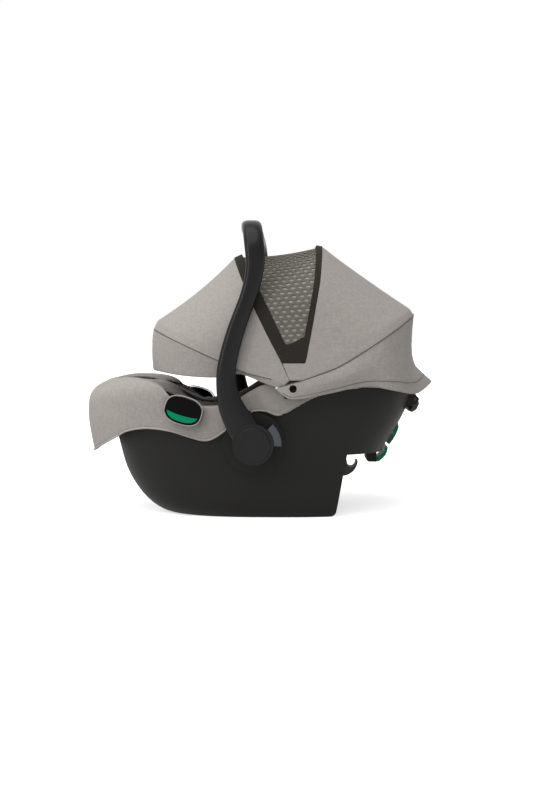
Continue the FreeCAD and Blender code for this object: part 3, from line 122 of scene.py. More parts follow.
LAMP_POWER = 2.1
LAMP_SPREAD = math.radians(70)
LAMP_FROM = Vector((-0.3, -0.42, 0.86))
lamp = bpy.data.objects.new("broad_lamp", bpy.data.lights.new("broad_lamp", "SUN"))
lamp.data.energy = LAMP_POWER
lamp.data.angle = LAMP_SPREAD
lamp.rotation_euler = LAMP_FROM.to_track_quat("Z", "Y").to_euler()
scene.collection.objects.link(lamp)

BOX_POWER = 8.0
BOX_SIZE = (0.2, 1.0)
BOX_SPOT = (-1.7, -1.5, 0.9)
BOX_FROM = Vector((-1.7, -1.5, 0.6))
soft_box = bpy.data.objects.new("soft_box", bpy.data.lights.new("soft_box", "AREA"))
soft_box.data.energy = BOX_POWER
soft_box.data.shape = "RECTANGLE"
soft_box.data.size, soft_box.data.size_y = BOX_SIZE
soft_box.location = BOX_SPOT
soft_box.rotation_euler = BOX_FROM.to_track_quat("Z", "Y").to_euler()
scene.collection.objects.link(soft_box)

CAMERA_SPOT = Vector((0.05, -2.3, 0.35))
CAMERA_AIM = Vector((-0.0175, 1.0, -0.0597))
SENSOR_HEIGHT = 36.0
FOCAL_LENGTH = 52.8
camera = bpy.data.objects.new("camera", bpy.data.cameras.new("camera"))
camera.data.sensor_fit = "VERTICAL"
camera.data.sensor_height = SENSOR_HEIGHT
camera.data.lens = FOCAL_LENGTH
camera.location = CAMERA_SPOT
camera.rotation_euler = CAMERA_AIM.to_track_quat("-Z", "Y").to_euler()
scene.collection.objects.link(camera)
scene.camera = camera
scene.view_settings.view_transform = "Standard"

# ---- carrier shell --------------------------------------------------------------------------
# The carrier shell and the canopy mounts are injection-moulded polypropylene, dyed olive black.
# The mould was spark-eroded, so the skin is matte with a fine grain, and drifts a little in gloss.

TONE_SIZE = 60    # mm over which a moulding drifts in tone


def per_mm(millimetres):
    """Texture scale that gives features of this size."""
    return 1000.0 / millimetres


def moulded(name, dark, light, roughness, grain, depth, gloss=0.5):
    """A moulded plastic: colour that drifts between two tones, under the grain of its mould. The
    grain and its depth are in mm. Real grain is 0.1 to 0.3 mm, so it is drawn coarser to show."""
    material = bpy.data.materials.new(name)
    tree = start_tree(material)
    place = add(tree, "TexCoord").outputs["Object"]
    drift = add(tree, "TexNoise", {"Vector": place, "Scale": per_mm(TONE_SIZE),
                                    "Detail": 3.0}).outputs[0]
    grains = add(tree, "TexNoise", {"Vector": place, "Scale": per_mm(grain),
                                    "Detail": 2.0}).outputs[0]
    tone = add(tree, "MixRGB", {0: drift, 1: linear(dark), 2: linear(light)}).outputs[0]
    rough = add(tree, "MapRange", {"Value": grains, "From Min": 0.3, "From Max": 0.7,
                                   "To Min": roughness - 0.05, "To Max": roughness + 0.05})
    bump = add(tree, "Bump", {"Height": grains, "Strength": 0.35, "Distance": depth / 1000})
    shader = add(tree, "BsdfPrincipled", {"Base Color": tone, "Roughness": rough.outputs[0],
                                          "Specular IOR Level": gloss, "Normal": bump.outputs[0]})
    add(tree, "OutputMaterial", {"Surface": shader.outputs[0]})
    return material


def dress(material, *names):
    """Gives CAD nodes a finish."""
    for name in names:
        if not nodes[name].material_slots:
            nodes[name].data.materials.append(material)
        for holder in nodes[name].material_slots:
            holder.link = "OBJECT"
            holder.material = material


def both(*stems):
    """The left and the right name of each pair of pieces."""
    return [f"{stem}_{side}" for stem in stems for side in ("left", "right")]


shell_plastic = moulded("moulded_polypropylene_olive_black", "#1C1B18", "#20201C",
                        roughness=0.58, grain=1.4, depth=0.05, gloss=0.15)
dress(shell_plastic, "outer_shell", *both("canopy_mount"))

# ---- carry handle ---------------------------------------------------------------------------
# The handle is one glass-filled nylon moulding with a satin skin, and its hubs carry plain caps.
# A soft thermoplastic rubber sleeve, matte and grainy, is moulded round the crossbar. The release
# buttons are blue grey ABS with a low sheen.

handle_plastic = moulded("moulded_nylon_charcoal", "#0D0D0D", "#111111",
                         roughness=0.28, grain=1.1, depth=0.006, gloss=0.19)
dress(handle_plastic, "handle_frame", *both("handle_hub_cap"))
sleeve_rubber = moulded("soft_touch_rubber_black", "#161617", "#1B1B1D",
                        roughness=0.6, grain=1.6, depth=0.06, gloss=0.16)
dress(sleeve_rubber, "handle_grip")
button_plastic = moulded("moulded_abs_blue_grey", "#42494F", "#4A5157",
                         roughness=0.42, grain=1.2, depth=0.02, gloss=0.2)
dress(button_plastic, *both("handle_button"))

# ---- handle lock ----------------------------------------------------------------------------
# Inside each hub an acetal gear locks the handle on a turned steel pin, and a wire spring holds
# the button out. The steel is zinc plated, so it is bright with a faint cloudy bloom, and the
# acetal is a plain satin black.

BLOOM_SIZE = 6          # mm between the clouds of the plating
MARK_SIZE = 0.8         # mm between turning marks, drawn coarser than the real 0.1 mm to show
MARK_DEPTH = 0.04       # mm


def plated(name, dark, light, roughness):
    """A zinc-plated steel: bright, with a cloudy bloom and fine turning marks."""
    material = bpy.data.materials.new(name)
    tree = start_tree(material)
    place = add(tree, "TexCoord").outputs["Object"]
    bloom = add(tree, "TexNoise", {"Vector": place, "Scale": per_mm(BLOOM_SIZE),
                                   "Detail": 4.0}).outputs[0]
    marks = add(tree, "TexNoise", {"Vector": place, "Scale": per_mm(MARK_SIZE),
                                   "Detail": 1.0}).outputs[0]
    tone = add(tree, "MixRGB", {0: bloom, 1: linear(dark), 2: linear(light)}).outputs[0]
    rough = add(tree, "MapRange", {"Value": bloom, "To Min": roughness - 0.08,
                                   "To Max": roughness + 0.1})
    bump = add(tree, "Bump", {"Height": marks, "Strength": 0.2, "Distance": MARK_DEPTH / 1000})
    shader = add(tree, "BsdfPrincipled", {"Base Color": tone, "Metallic": 1.0,
                                          "Roughness": rough.outputs[0], "Normal": bump.outputs[0]})
    add(tree, "OutputMaterial", {"Surface": shader.outputs[0]})
    return material


def press_coil(node, body):
    """A copy of a coil node, which rides on a body in place of the node."""
    wire = bpy.data.objects.new(node + "_wire", nodes[node].data.copy())
    scene.collection.objects.link(wire)
    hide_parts(node)
    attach(wire, body)
    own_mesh(wire)


zinc_steel = plated("zinc_plated_steel", "#A9ABAD", "#C9CBCC", roughness=0.34)
dress(zinc_steel, "handle_pivot_nuts", *both("handle_pivot_pin"))
acetal_black = moulded("moulded_acetal_black", "#141414", "#1A1A1A",
                       roughness=0.45, grain=1.0, depth=0.03, gloss=0.4)
dress(acetal_black, *both("handle_lock_gear"))
press_coil("handle_spring_left", "handle")
press_coil("handle_spring_right", "handle")

# ---- base latch -----------------------------------------------------------------------------
# Two plated steel bars across the underside hold the carrier down on a car base, and a sprung
# acetal bolt locks it there. The acetal release lever turns on a pin at the head end.

dress(zinc_steel, "front_lock_bar", "rear_lock_bar")
dress(acetal_black, "base_latch_bolt", "release_lever", "release_lever_pin")
press_coil("latch_spring", "seat_shell")

# ---- belt guides ----------------------------------------------------------------------------
# The vehicle belt lies behind the glossy black ear and over the green crescent on each side, and
# behind the green hooks on the back. The ears are ABS from a polished mould, so they mirror. The
# green is satin polypropylene, and marks every place where the belt goes.

gloss_black = moulded("polished_abs_black", "#040404", "#060606",
                      roughness=0.1, grain=4.0, depth=0.004, gloss=0.05)
dress(gloss_black, *both("lap_belt_ear"))
belt_green = moulded("moulded_pp_belt_green", "#03875F", "#058F66",
                     roughness=0.36, grain=1.5, depth=0.01, gloss=0.07)
dress(belt_green, "shoulder_belt_hook_upper", "shoulder_belt_hook_lower", *both("lap_belt_hook"))

# ---- foam liner -----------------------------------------------------------------------------
# Between the shell and the padding sits a liner of charcoal expanded polypropylene. Its beads,
# about 4 mm across, stay visible as a pattern of rounded cells, each drawn lighter on its dome and
# darker towards its edge as painted shade in the hollows between beads.

BEAD_SIZE = 4       # mm
BEAD_DEPTH = 0.6    # mm
foam = bpy.data.materials.new("expanded_polypropylene_charcoal")
tree = start_tree(foam)
place = add(tree, "TexCoord").outputs["Object"]
beads = add(tree, "TexVoronoi", {"Vector": place, "Scale": per_mm(BEAD_SIZE)}).outputs["Distance"]
# each bead lighter in its middle and darker at its edge: painted shade in the hollows between beads
tone = add(tree, "MixRGB", {0: beads, 1: linear("#44433F"), 2: linear("#2E2D2A")}).outputs[0]
bump = add(tree, "Bump", {"Height": beads, "Strength": 0.5, "Distance": BEAD_DEPTH / 1000},
           invert=True)
shader = add(tree, "BsdfPrincipled", {"Base Color": tone, "Roughness": 0.8,
                                      "Normal": bump.outputs[0]})
add(tree, "OutputMaterial", {"Surface": shader.outputs[0]})
dress(foam, "foam_liner")

# ---- melange cover --------------------------------------------------------------------------
# The seat cover is a padded melange polyester that hugs the shell's rim, with a loose flap over
# the foot end. Its hem and the mouth of the seat are piped, and a sewn ring frames each belt guide.

SIDES = ((-1, "left"), (1, "right"))
FLECK_WIDE = 0.16     # a fleck is about six times as long as it is wide
WEAVE_DEPTH = 0.3     # mm
CLOTH_FRAMES = 20


def woven(name, dark, light, thread, fleck, sheen):
    """A yarn-dyed cloth: pale and dark yarns cross along all three axes, so no face looks smeared.
    Threads and flecks are in mm. A real thread is about 0.4 mm, so it is drawn coarser to show."""
    material = bpy.data.materials.new(name)
    tree = start_tree(material)
    place = add(tree, "TexCoord").outputs["Object"]
    yarns, threads = [], []
    for stretch in ((FLECK_WIDE, 1, 1), (1, FLECK_WIDE, 1), (1, 1, FLECK_WIDE)):
        along = add(tree, "Mapping", {"Vector": place, "Scale": stretch}).outputs[0]
        yarns.append(add(tree, "TexNoise", {"Vector": along, "Scale": per_mm(fleck),
                                            "Detail": 2.0}))
        threads.append(add(tree, "TexNoise", {"Vector": along, "Scale": per_mm(thread),
                                              "Detail": 0.0}))
    sums = []    # of three noises each, so about 1.5 in the middle
    for group in (yarns, threads):
        pair = add(tree, "Math", {0: group[0].outputs[0], 1: group[1].outputs[0]},
                   operation="ADD")
        sums.append(add(tree, "Math", {0: pair.outputs[0], 1: group[2].outputs[0]},
                        operation="ADD"))
    mixed = add(tree, "MapRange", {"Value": sums[0].outputs[0],
                                   "From Min": 1.1, "From Max": 1.9}).outputs[0]
    tone = add(tree, "MixRGB", {0: mixed, 1: linear(dark), 2: linear(light)}).outputs[0]
    bump = add(tree, "Bump", {"Height": sums[1].outputs[0], "Strength": 0.5,
                              "Distance": WEAVE_DEPTH / 1000})
    shader = add(tree, "BsdfPrincipled", {"Base Color": tone, "Roughness": 0.88,
                                          "Sheen Weight": sheen, "Sheen Roughness": 0.5,
                                          "Specular IOR Level": 0.25, "Normal": bump.outputs[0]})
    add(tree, "OutputMaterial", {"Surface": shader.outputs[0]})
    return material


# the piping is the same cloth, drawn a little paler as a painted highlight along its raised cord
melange = woven("melange_polyester_warm_grey", "#9D9792", "#AEA8A3",
                thread=1.4, fleck=2.6, sheen=0.04)
piping_highlit_cloth = woven("melange_polyester_piping_painted_highlight", "#A39D98", "#B6B0AB",
                     thread=1.4, fleck=2.6, sheen=0.04)


def new_piece(name, points, faces, material):
    """A smooth mesh object from points in millimetres."""
    mesh = bpy.data.meshes.new(name)
    mesh.from_pydata([Vector(p) / 1000 for p in points], [], faces)
    mesh.shade_smooth()
    mesh.materials.append(material)
    made = bpy.data.objects.new(name, mesh)
    scene.collection.objects.link(made)
    return made


def settle(piece):
    """Turns a piece's modifiers into its mesh."""
    done = piece.evaluated_get(bpy.context.evaluated_depsgraph_get())
    piece.data = bpy.data.meshes.new_from_object(done)
    piece.modifiers.clear()
    piece.data.shade_smooth()


def soft_copy(name, node, material, voxel, rounds):
    """The sewn form of a CAD pad: evenly remeshed, with its corners eased."""
    made = bpy.data.objects.new(name, nodes[node].data.copy())
    scene.collection.objects.link(made)
    made.data.materials.clear()
    made.data.materials.append(material)
    remesh = made.modifiers.new("remesh", "REMESH")
    remesh.voxel_size = voxel / 1000
    ease = made.modifiers.new("ease", "SMOOTH")
    ease.factor = 0.5
    ease.iterations = rounds
    settle(made)
    return made


def points_of(piece):
    """A piece's points as rows of millimetres."""
    spots = np.empty(len(piece.data.vertices) * 3)
    piece.data.vertices.foreach_get("co", spots)
    return spots.reshape(-1, 3) * 1000


def move_points(piece, spots):
    """Puts a piece's points at rows of millimetres."""
    piece.data.vertices.foreach_set("co", (np.asarray(spots) / 1000).ravel())
    piece.data.update()


def inflate(piece, pressure, cap):
    """Fills a pad: cloth under pressure, which moves no point further than the cap in mm."""
    start = points_of(piece)
    cloth = piece.modifiers.new("cloth", "CLOTH")
    cloth.settings.use_pressure = True
    cloth.settings.uniform_pressure_force = pressure
    cloth.settings.effector_weights.gravity = 0
    cloth.settings.quality = 4
    for step in range(1, CLOTH_FRAMES + 1):
        scene.frame_set(step)
    settle(piece)
    shift = points_of(piece) - start
    far = np.linalg.norm(shift, axis=1, keepdims=True)
    move_points(piece, start + shift * np.minimum(1, cap / np.maximum(far, 1e-6)))
    scene.frame_set(1)


def smooth_line(points):
    """A smooth height curve through (x, z) points."""
    def height(x):
        last = len(points) - 1
        i = min(max(sum(1 for p in points if p[0] <= x) - 1, 0), last - 1)
        a, b = points[i], points[i + 1]
        before, after = points[max(i - 1, 0)], points[min(i + 2, last)]
        share = min(max((x - a[0]) / (b[0] - a[0]), 0), 1)
        rise_a = (b[1] - before[1]) / (b[0] - before[0]) * (b[0] - a[0])
        rise_b = (after[1] - a[1]) / (after[0] - a[0]) * (b[0] - a[0])
        s2, s3 = share * share, share ** 3
        return ((2 * s3 - 3 * s2 + 1) * a[1] + (s3 - 2 * s2 + share) * rise_a
                + (3 * s2 - 2 * s3) * b[1] + (s3 - s2) * rise_b)
    return height


def tube(name, spots, radius, material, closed=False, sides=8):
    """A round cord of cloth or thread along spots in millimetres."""
    spots = [Vector(p) for p in spots]
    count = len(spots)
    points, faces = [], []
    up = Vector((0, 0, 1))
    for i, spot in enumerate(spots):
        if closed:
            way = (spots[(i + 1) % count] - spots[i - 1]).normalized()
        else:
            way = (spots[min(i + 1, count - 1)] - spots[max(i - 1, 0)]).normalized()
        across = way.cross(up)
        if across.length < 0.1:
            across = way.cross(Vector((0, 1, 0)))
        across.normalize()
        over = across.cross(way)
        for k in range(sides):
            turn = 2 * math.pi * k / sides
            points.append(spot + (across * math.cos(turn) + over * math.sin(turn)) * radius)
    for i in range(count if closed else count - 1):
        for k in range(sides):
            a, b = i * sides, (i + 1) % count * sides
            faces.append((a + k, a + (k + 1) % sides, b + (k + 1) % sides, b + k))
    if not closed:
        faces.append(tuple(range(sides))[::-1])
        faces.append(tuple((count - 1) * sides + k for k in range(sides)))
    return new_piece(name, points, faces, material)


def roughen(piece, size, depth):
    """Gives cloth its soft unevenness: points move along their normals by slow noise, in mm."""
    spots = points_of(piece)
    normals = np.array([v.normal for v in piece.data.vertices])
    shift = np.array([noise.noise(Vector(p) / size) for p in spots])
    move_points(piece, spots + normals * shift[:, None] * depth)


cover = soft_copy("seat_cover_cloth", "seat_cover", melange, voxel=3.0, rounds=6)
roughen(cover, size=70, depth=1.6)
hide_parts("seat_cover")
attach(cover, "seat_shell")


def skin_of(node):
    """A CAD node's surface, ready for ray casts in metres."""
    mesh = nodes[node].data
    return BVHTree.FromPolygons([v.co for v in mesh.vertices], [p.vertices for p in mesh.polygons])


cover_skin = skin_of("seat_cover")
HEM = ((-400, 60), (-328, 112), (-322, 118), (-290, 137.5), (-259, 155), (-250, 160.5),
       (-224, 167), (-197, 168), (-161, 163), (-125, 152), (-101, 146.5), (-85, 150.5),
       (-62, 165.5), (-38, 185), (-15, 200), (10, 201.5), (34, 194), (64, 205), (100, 226),
       (150, 240))
hem_height = smooth_line(HEM)
HEM_PIPE = 1.9                      # radius of the piping
HEM_MIDDLE = -60                    # x of the upright line that the piping is searched round
HEM_STEPS = 240
HEM_START, HEM_SWEEP = -60, -240    # degrees, round the foot end
HEM_REACH = 190                     # about how far the hem lies from the middle
HEM_END = 60                        # the piping stops under the canopy's foot
NEAR_SIDE = 60                      # a ray that lands nearer the middle went through a cut-out
FAR_OUT = 600                       # where the rays start
HEM_TRIES, HEM_PACE = 12, 3         # rays for each heading, and the step up or down after a miss
HEM_PULL = 0.6                      # share of the way to the hem's height that a hit moves the ray
HEM_SLACK = 2.5                     # how far the found height may lie from the hem's
HEM_STAND = 0.2                     # how far the piping's axis stands out from the cloth
SHORT_RUN = 4                       # a run of no more spots than this is left out
hem_runs = [[]]                     # the piping stops where a cut-out breaks the hem
for step in range(HEM_STEPS + 1):
    turn = math.radians(HEM_START + HEM_SWEEP * step / HEM_STEPS)
    heading = Vector((math.cos(turn), math.sin(turn), 0))
    z, spot = hem_height(HEM_MIDDLE + HEM_REACH * heading.x) + 4, None
    for _ in range(HEM_TRIES):
        middle = Vector((HEM_MIDDLE, 0, z))
        hit = cover_skin.ray_cast((middle + heading * FAR_OUT) / 1000, -heading)[0]
        if hit is None:
            z += HEM_PACE
        elif (hit * 1000 - middle).dot(heading) < NEAR_SIDE:
            z -= HEM_PACE
        else:
            spot = hit * 1000
            z = z * (1 - HEM_PULL) + (hem_height(spot.x) + HEM_PIPE) * HEM_PULL
    on_hem = spot is not None and abs(z - hem_height(spot.x) - HEM_PIPE) < HEM_SLACK
    if on_hem and spot.x < HEM_END:
        hem_runs[-1].append(Vector((spot.x, spot.y, z)) + heading * HEM_STAND)
    elif hem_runs[-1]:
        hem_runs.append([])
for number, spots in enumerate([run for run in hem_runs if len(run) > SHORT_RUN], 1):
    hem_pipe = tube(f"seat_cover_hem_piping_{number}", spots, HEM_PIPE, piping_highlit_cloth)
    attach(hem_pipe, "seat_shell")

pad_skin = skin_of("seat_pad")
WELL_SPOTS = 120
WELL_PIPE = 2.8                     # radius of the piping
WELL_ABOVE = Vector((-10, 0, 300))  # over the middle of the seat's mouth
WELL_REACH, WELL_PACE = 320.0, 1.5  # where the search for the pad's edge starts, and its pace
WELL_STAND = 1.2                    # how far the piping stands out and up from that edge
WELL_EASE = 3                       # neighbours on each side that a spot is averaged with
DOWN = Vector((0, 0, -1))
rim = []
for step in range(WELL_SPOTS):
    turn = 2 * math.pi * step / WELL_SPOTS
    heading = Vector((math.cos(turn), math.sin(turn), 0))
    reach, height = WELL_REACH, None
    while height is None:
        reach -= WELL_PACE
        above = (WELL_ABOVE + heading * reach) / 1000
        on_pad = pad_skin.ray_cast(above, DOWN)[0]
        on_cover = cover_skin.ray_cast(above, DOWN)[0]
        if on_pad is not None and (on_cover is None or on_cover.z < on_pad.z):
            height = on_pad.z * 1000
    rim.append((reach + WELL_STAND, height))
well_ring = []
for step in range(WELL_SPOTS):
    turn = 2 * math.pi * step / WELL_SPOTS
    near = [rim[(step + k) % WELL_SPOTS] for k in range(-WELL_EASE, WELL_EASE + 1)]
    reach, height = (sum(pair[i] for pair in near) / len(near) for i in (0, 1))
    well_ring.append(Vector((WELL_ABOVE.x + reach * math.cos(turn), reach * math.sin(turn),
                             height + WELL_STAND)))
well_pipe = tube("seat_well_piping", well_ring, WELL_PIPE, piping_highlit_cloth, closed=True)
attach(well_pipe, "seat_shell")

GUIDE_SPOT = Vector((-138, 0, 204))
GUIDE_LONG, GUIDE_SHORT = 34.4, 25.4    # half sizes of the sewn ring
GUIDE_OUT = 183.4                       # how far it lies from the middle plane
GUIDE_TILT = math.radians(17)
GUIDE_SQUARE = 0.75                     # below 1 the ring's corners are fuller than an ellipse's
GUIDE_STEPS = 72
GUIDE_PIPE = 1.1                        # radius of the piping


def fuller(share):
    """A cosine or sine moved towards the corners of a rounded oblong."""
    return math.copysign(abs(share) ** GUIDE_SQUARE, share)


for side, name in SIDES:
    ring = []
    for step in range(GUIDE_STEPS):
        turn = 2 * math.pi * step / GUIDE_STEPS
        long, short = GUIDE_LONG * fuller(math.cos(turn)), GUIDE_SHORT * fuller(math.sin(turn))
        lean, rise = math.sin(GUIDE_TILT), math.cos(GUIDE_TILT)
        ring.append(GUIDE_SPOT + Vector((long * rise + short * lean, side * GUIDE_OUT,
                                         -long * lean + short * rise)))
    guide_pipe = tube(f"lap_guide_piping_{name}", ring, GUIDE_PIPE, piping_highlit_cloth, closed=True)
    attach(guide_pipe, "seat_shell")

# ---- seat padding ---------------------------------------------------------------------------
# A quilted pad lines the well, and a newborn's body insert and head pillow lie in it. They are
# polyester wadding in a soft brushed knit, so they swell between their seams.

PAD_PRESSURE = 4
PAD_ROUNDS = 3    # of easing the corners
brushed_knit = woven("brushed_knit_warm_grey", "#99938D", "#ACA6A1",
                     thread=1.8, fleck=3.2, sheen=0.08)
for node, voxel, cap, fill in (("seat_pad", 5, 3, 0.5), ("body_insert", 4.5, 7, 0.7),
                               ("head_pillow", 4.5, 8, 0.8)):
    pad = soft_copy(f"{node}_cloth", node, brushed_knit, voxel, PAD_ROUNDS)
    inflate(pad, PAD_PRESSURE, cap)
    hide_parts(node)
    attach(pad, "seat_shell")

# ---- harness --------------------------------------------------------------------------------
# The harness is woven polyester webbing, 38 mm wide, with a padded sleeve over each shoulder.
# The buckle and clip are black acetal and the tongues and yoke plated steel. The button is ABS
# in signal red, with a low sheen.

dress(acetal_black, "buckle_housing", "harness_adjuster", "adjuster_button", *both("chest_clip"))
dress(zinc_steel, "harness_yoke", *both("buckle_tongue"))
press_red = moulded("moulded_abs_red", "#A81412", "#B51A17",
                    roughness=0.34, grain=1.5, depth=0.02, gloss=0.45)
dress(press_red, "buckle_button")
webbing = woven("woven_webbing_dark_grey", "#26231F", "#38342F",
                thread=1.2, fleck=2.0, sheen=0.05)
pad_cloth = woven("brushed_knit_umber", "#2B2321", "#3A312E",
                  thread=1.8, fleck=3.0, sheen=0.1)
for name in both("shoulder_strap") + ["crotch_strap", "adjuster_strap"]:
    strap = soft_copy(f"{name}_webbing", name, webbing, voxel=1.2, rounds=1)
    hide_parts(name)
    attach(strap, "seat_shell")
for name in both("shoulder_pad"):
    pad = soft_copy(f"{name}_cloth", name, pad_cloth, voxel=3.5, rounds=2)
    inflate(pad, PAD_PRESSURE, cap=3)
    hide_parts(name)
    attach(pad, "seat_shell")

# ---- canopy bows ----------------------------------------------------------------------------
# Four flat bows of moulded nylon, brown black and satin, turn on one pin at each side and hold
# the canopy open. A glossy cap closes each pin.

bow_plastic = moulded("moulded_nylon_bow_brown_black", "#211E1B", "#2A2622",
                      roughness=0.5, grain=1.4, depth=0.03, gloss=0.35)
dress(bow_plastic, "canopy_rear_bow", "canopy_mid_rear_bow", "canopy_mid_front_bow",
      "canopy_front_bow")
dress(gloss_black, *both("canopy_pivot_cap"))

# ---- canopy cloth ---------------------------------------------------------------------------
# The canopy is one shaped hood of melange polyester, sewn to flat sleeves on the bows. Pulled
# tight between them, it sinks a little at the middle of a span. Its outer seams lie just past the
# bows.

PIVOT = Vector((60.8, 0, 244.7))
CORNER = 120.0        # corner radius of the bows
CLOTH_HALF = 197.0    # half width of the hood
LEG_STEPS, ARC_STEPS, TOP_STEPS = 16, 14, 16
# each bow's reach from the pivot, and its angle
REAR, MID_REAR = (262.7, 31.9), (266.7, 79.6)
MID_FRONT, FRONT = (264.2, 114.0), (282.2, 155.7)
SEAM = 10.0           # how far an outer seam lies past its bow
HOLD = 15.0           # how near the pivot the panels start
SKIN = 0.3            # how far the cloth lies off a bow
FADE_FROM, FADE_OVER = 30, 70    # where a seam's shift sets in along the leg
PANEL_ROWS = 14
PANEL_THICK, VISOR_THICK = 1.4, 1.8
# the window's rear edge: its distance from the mid rear bow's plane, along the leg
rear_edge = smooth_line(((10, -13), (60, -14), (190, -14), (224, -11), (270, -6.5)))


def bow_line(reach, degrees, start, lift=0.0, shift=0.0, keep=None):
    """The line of cloth over a bow, pivot to pivot, shifted from the bow's plane by a distance or
    by a curve of distances along the leg. With keep, the shift fades towards the pivots, and only
    that share of it is left across the top."""
    half, corner = CLOTH_HALF + lift, CORNER + lift
    out = reach + lift - corner
    flat = [(start + (out - start) * i / LEG_STEPS, -half) for i in range(LEG_STEPS)]
    for i in range(ARC_STEPS):
        turn = math.pi / 2 * i / ARC_STEPS
        flat.append((out + corner * math.sin(turn), -half + corner * (1 - math.cos(turn))))
    side = half - corner
    flat += [(reach + lift, -side + side * i / (TOP_STEPS / 2)) for i in range(TOP_STEPS // 2)]
    flat = flat + [(reach + lift, 0.0)] + [(x, -y) for x, y in flat[::-1]]
    turn = math.radians(degrees)
    line = []
    for x, y in flat:
        off = shift(x) if callable(shift) else shift
        if keep is not None:
            fade = min(max((x - FADE_FROM) / FADE_OVER, 0), 1)
            off *= fade * fade * (3 - 2 * fade) * (keep + (1 - keep) * abs(y / half) ** 3)
        line.append(PIVOT + Vector((x * math.cos(turn) - off * math.sin(turn), y,
                                    x * math.sin(turn) + off * math.cos(turn))))
    return line


def crownness(spot):
    """0 on the canopy's flat sides, 1 across its top."""
    side = min(abs(spot.y) / CLOTH_HALF, 1)
    return 1 - side ** 4


def rows_between(first, last, rows, sag):
    """Rows of a panel, pulled in towards the pivot at the middle of the span."""
    grid = []
    for r in range(rows + 1):
        share = r / rows
        row = []
        for a, b in zip(first, last):
            spot = a.lerp(b, share)
            out = Vector((spot.x - PIVOT.x, 0, spot.z - PIVOT.z))
            if out.length > 1:
                spot = spot - out.normalized() * sag * 4 * share * (1 - share) * crownness(spot)
            row.append(spot)
        grid.append(row)
    return grid


def sleeve(bow, shifts, keep):
    """Rows of cloth that lie flat over a bow, at distances from its plane."""
    return [bow_line(*bow, HOLD, SKIN, shift, keep) for shift in shifts]


def give_thickness(piece, thick):
    """Gives a sheet its thickness in mm, half to each side, and rounds it."""
    thicken = piece.modifiers.new("thickness", "SOLIDIFY")
    thicken.thickness = thick / 1000
    thicken.offset = 0
    rounder = piece.modifiers.new("rounder", "SUBSURF")
    rounder.levels = rounder.render_levels = 1
    settle(piece)


def grid_piece(name, grid, material, thick, drift=1.0):
    """A sheet of cloth from rows of points, uneven by a drift in mm."""
    wide = len(grid[0])
    points = [spot for row in grid for spot in row]
    faces = [(r * wide + k, r * wide + k + 1, (r + 1) * wide + k + 1, (r + 1) * wide + k)
             for r in range(len(grid) - 1) for k in range(wide - 1)]
    made = new_piece(name, points, faces, material)
    if drift:
        roughen(made, size=85, depth=drift)
    give_thickness(made, thick)
    return made


def bend_between(piece):
    """Bakes a panel's placement into its mesh."""
    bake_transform(piece)


def stitched(name, line, radius, material, body):
    """A thin cord along a seam or stitching, which rides on a body."""
    seam = tube(name, line, radius, material, sides=6)
    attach(seam, body)


def under_tape(x):
    """The last row of the rear panel, tucked under the window's tape."""
    return rear_edge(x) + 4


rear_rows = [bow_line(*REAR, HOLD, -1.2, -SEAM - 6, 0.6)]    # tucked under the skirt
rear_rows += sleeve(REAR, (-SEAM - 1, -6, 0, 5), 0.5)
rear_rows += rows_between(bow_line(*REAR, HOLD, SKIN, 7, 1),
                          bow_line(*MID_REAR, HOLD, SKIN, rear_edge), PANEL_ROWS, sag=3)
rear_rows.append(bow_line(*MID_REAR, HOLD, SKIN, under_tape))
rear_panel = grid_piece("canopy_rear_cloth", rear_rows, melange, PANEL_THICK)
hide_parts("canopy_rear_panel")
bend_between(rear_panel)

front_rows = rows_between(bow_line(*MID_FRONT, HOLD), bow_line(*FRONT, HOLD, SKIN, -7, 1),
                          PANEL_ROWS, sag=6)
front_rows += sleeve(FRONT, (-5, 0, 5, SEAM), 1)
front_panel = grid_piece("canopy_front_cloth", front_rows, melange, PANEL_THICK)
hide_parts("canopy_front_panel")
bend_between(front_panel)

VISOR_HEM = (265.2, 173.5)        # reach and angle of the visor's free edge
VISOR_TUCK = 0.05                 # share of its width that the free edge draws in
TUCK_REACH = 150                  # how far from the pivot it has drawn in fully
SIDE_FROM, SIDE_OVER = 150, 40    # the part of the half width where the visor's side is shaped
visor_rise = smooth_line(((0, 0), (28, -1), (60, 6), (80, 12.5), (100, 15), (130, 5.5),
                          (158, 1.3), (240, -2), (300, 0)))
hem_line = []
for spot in bow_line(*VISOR_HEM, HOLD):
    side_share = min(max((abs(spot.y) - SIDE_FROM) / SIDE_OVER, 0), 1)
    reach = (spot - Vector((PIVOT.x, spot.y, PIVOT.z))).length
    hem_line.append(Vector((spot.x, spot.y * (1 - VISOR_TUCK * min(reach / TUCK_REACH, 1)),
                            spot.z + visor_rise(reach) * side_share)))
visor_rows = rows_between(bow_line(*FRONT, HOLD, SKIN, SEAM, 1), hem_line, 10, sag=-3)
visor = grid_piece("canopy_visor_cloth", visor_rows, melange, VISOR_THICK)
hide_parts("canopy_visor")
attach(visor, "front_bow")

SEAM_START, SEAM_RADIUS = 42, 0.7
# a dark taupe cord: along the front and rear seams it is painted shade in the seam's groove, and
# along the skirt's hem it is the stitching
groove_shade_and_thread = woven("taupe_thread_and_painted_seam_shade", "#5A544E", "#6B655F", thread=0.8, fleck=1.5, sheen=0.0)
stitched("canopy_front_seam", bow_line(*FRONT, SEAM_START, 1.0, SEAM, 1), SEAM_RADIUS,
         groove_shade_and_thread, "front_bow")

# ---- canopy window --------------------------------------------------------------------------
# The window is a dark knitted spacer mesh with a staggered pattern of long eyelets over a paler
# inner net, bound at its edges with dark tape. Below it a grey gusset runs down to the pivot.

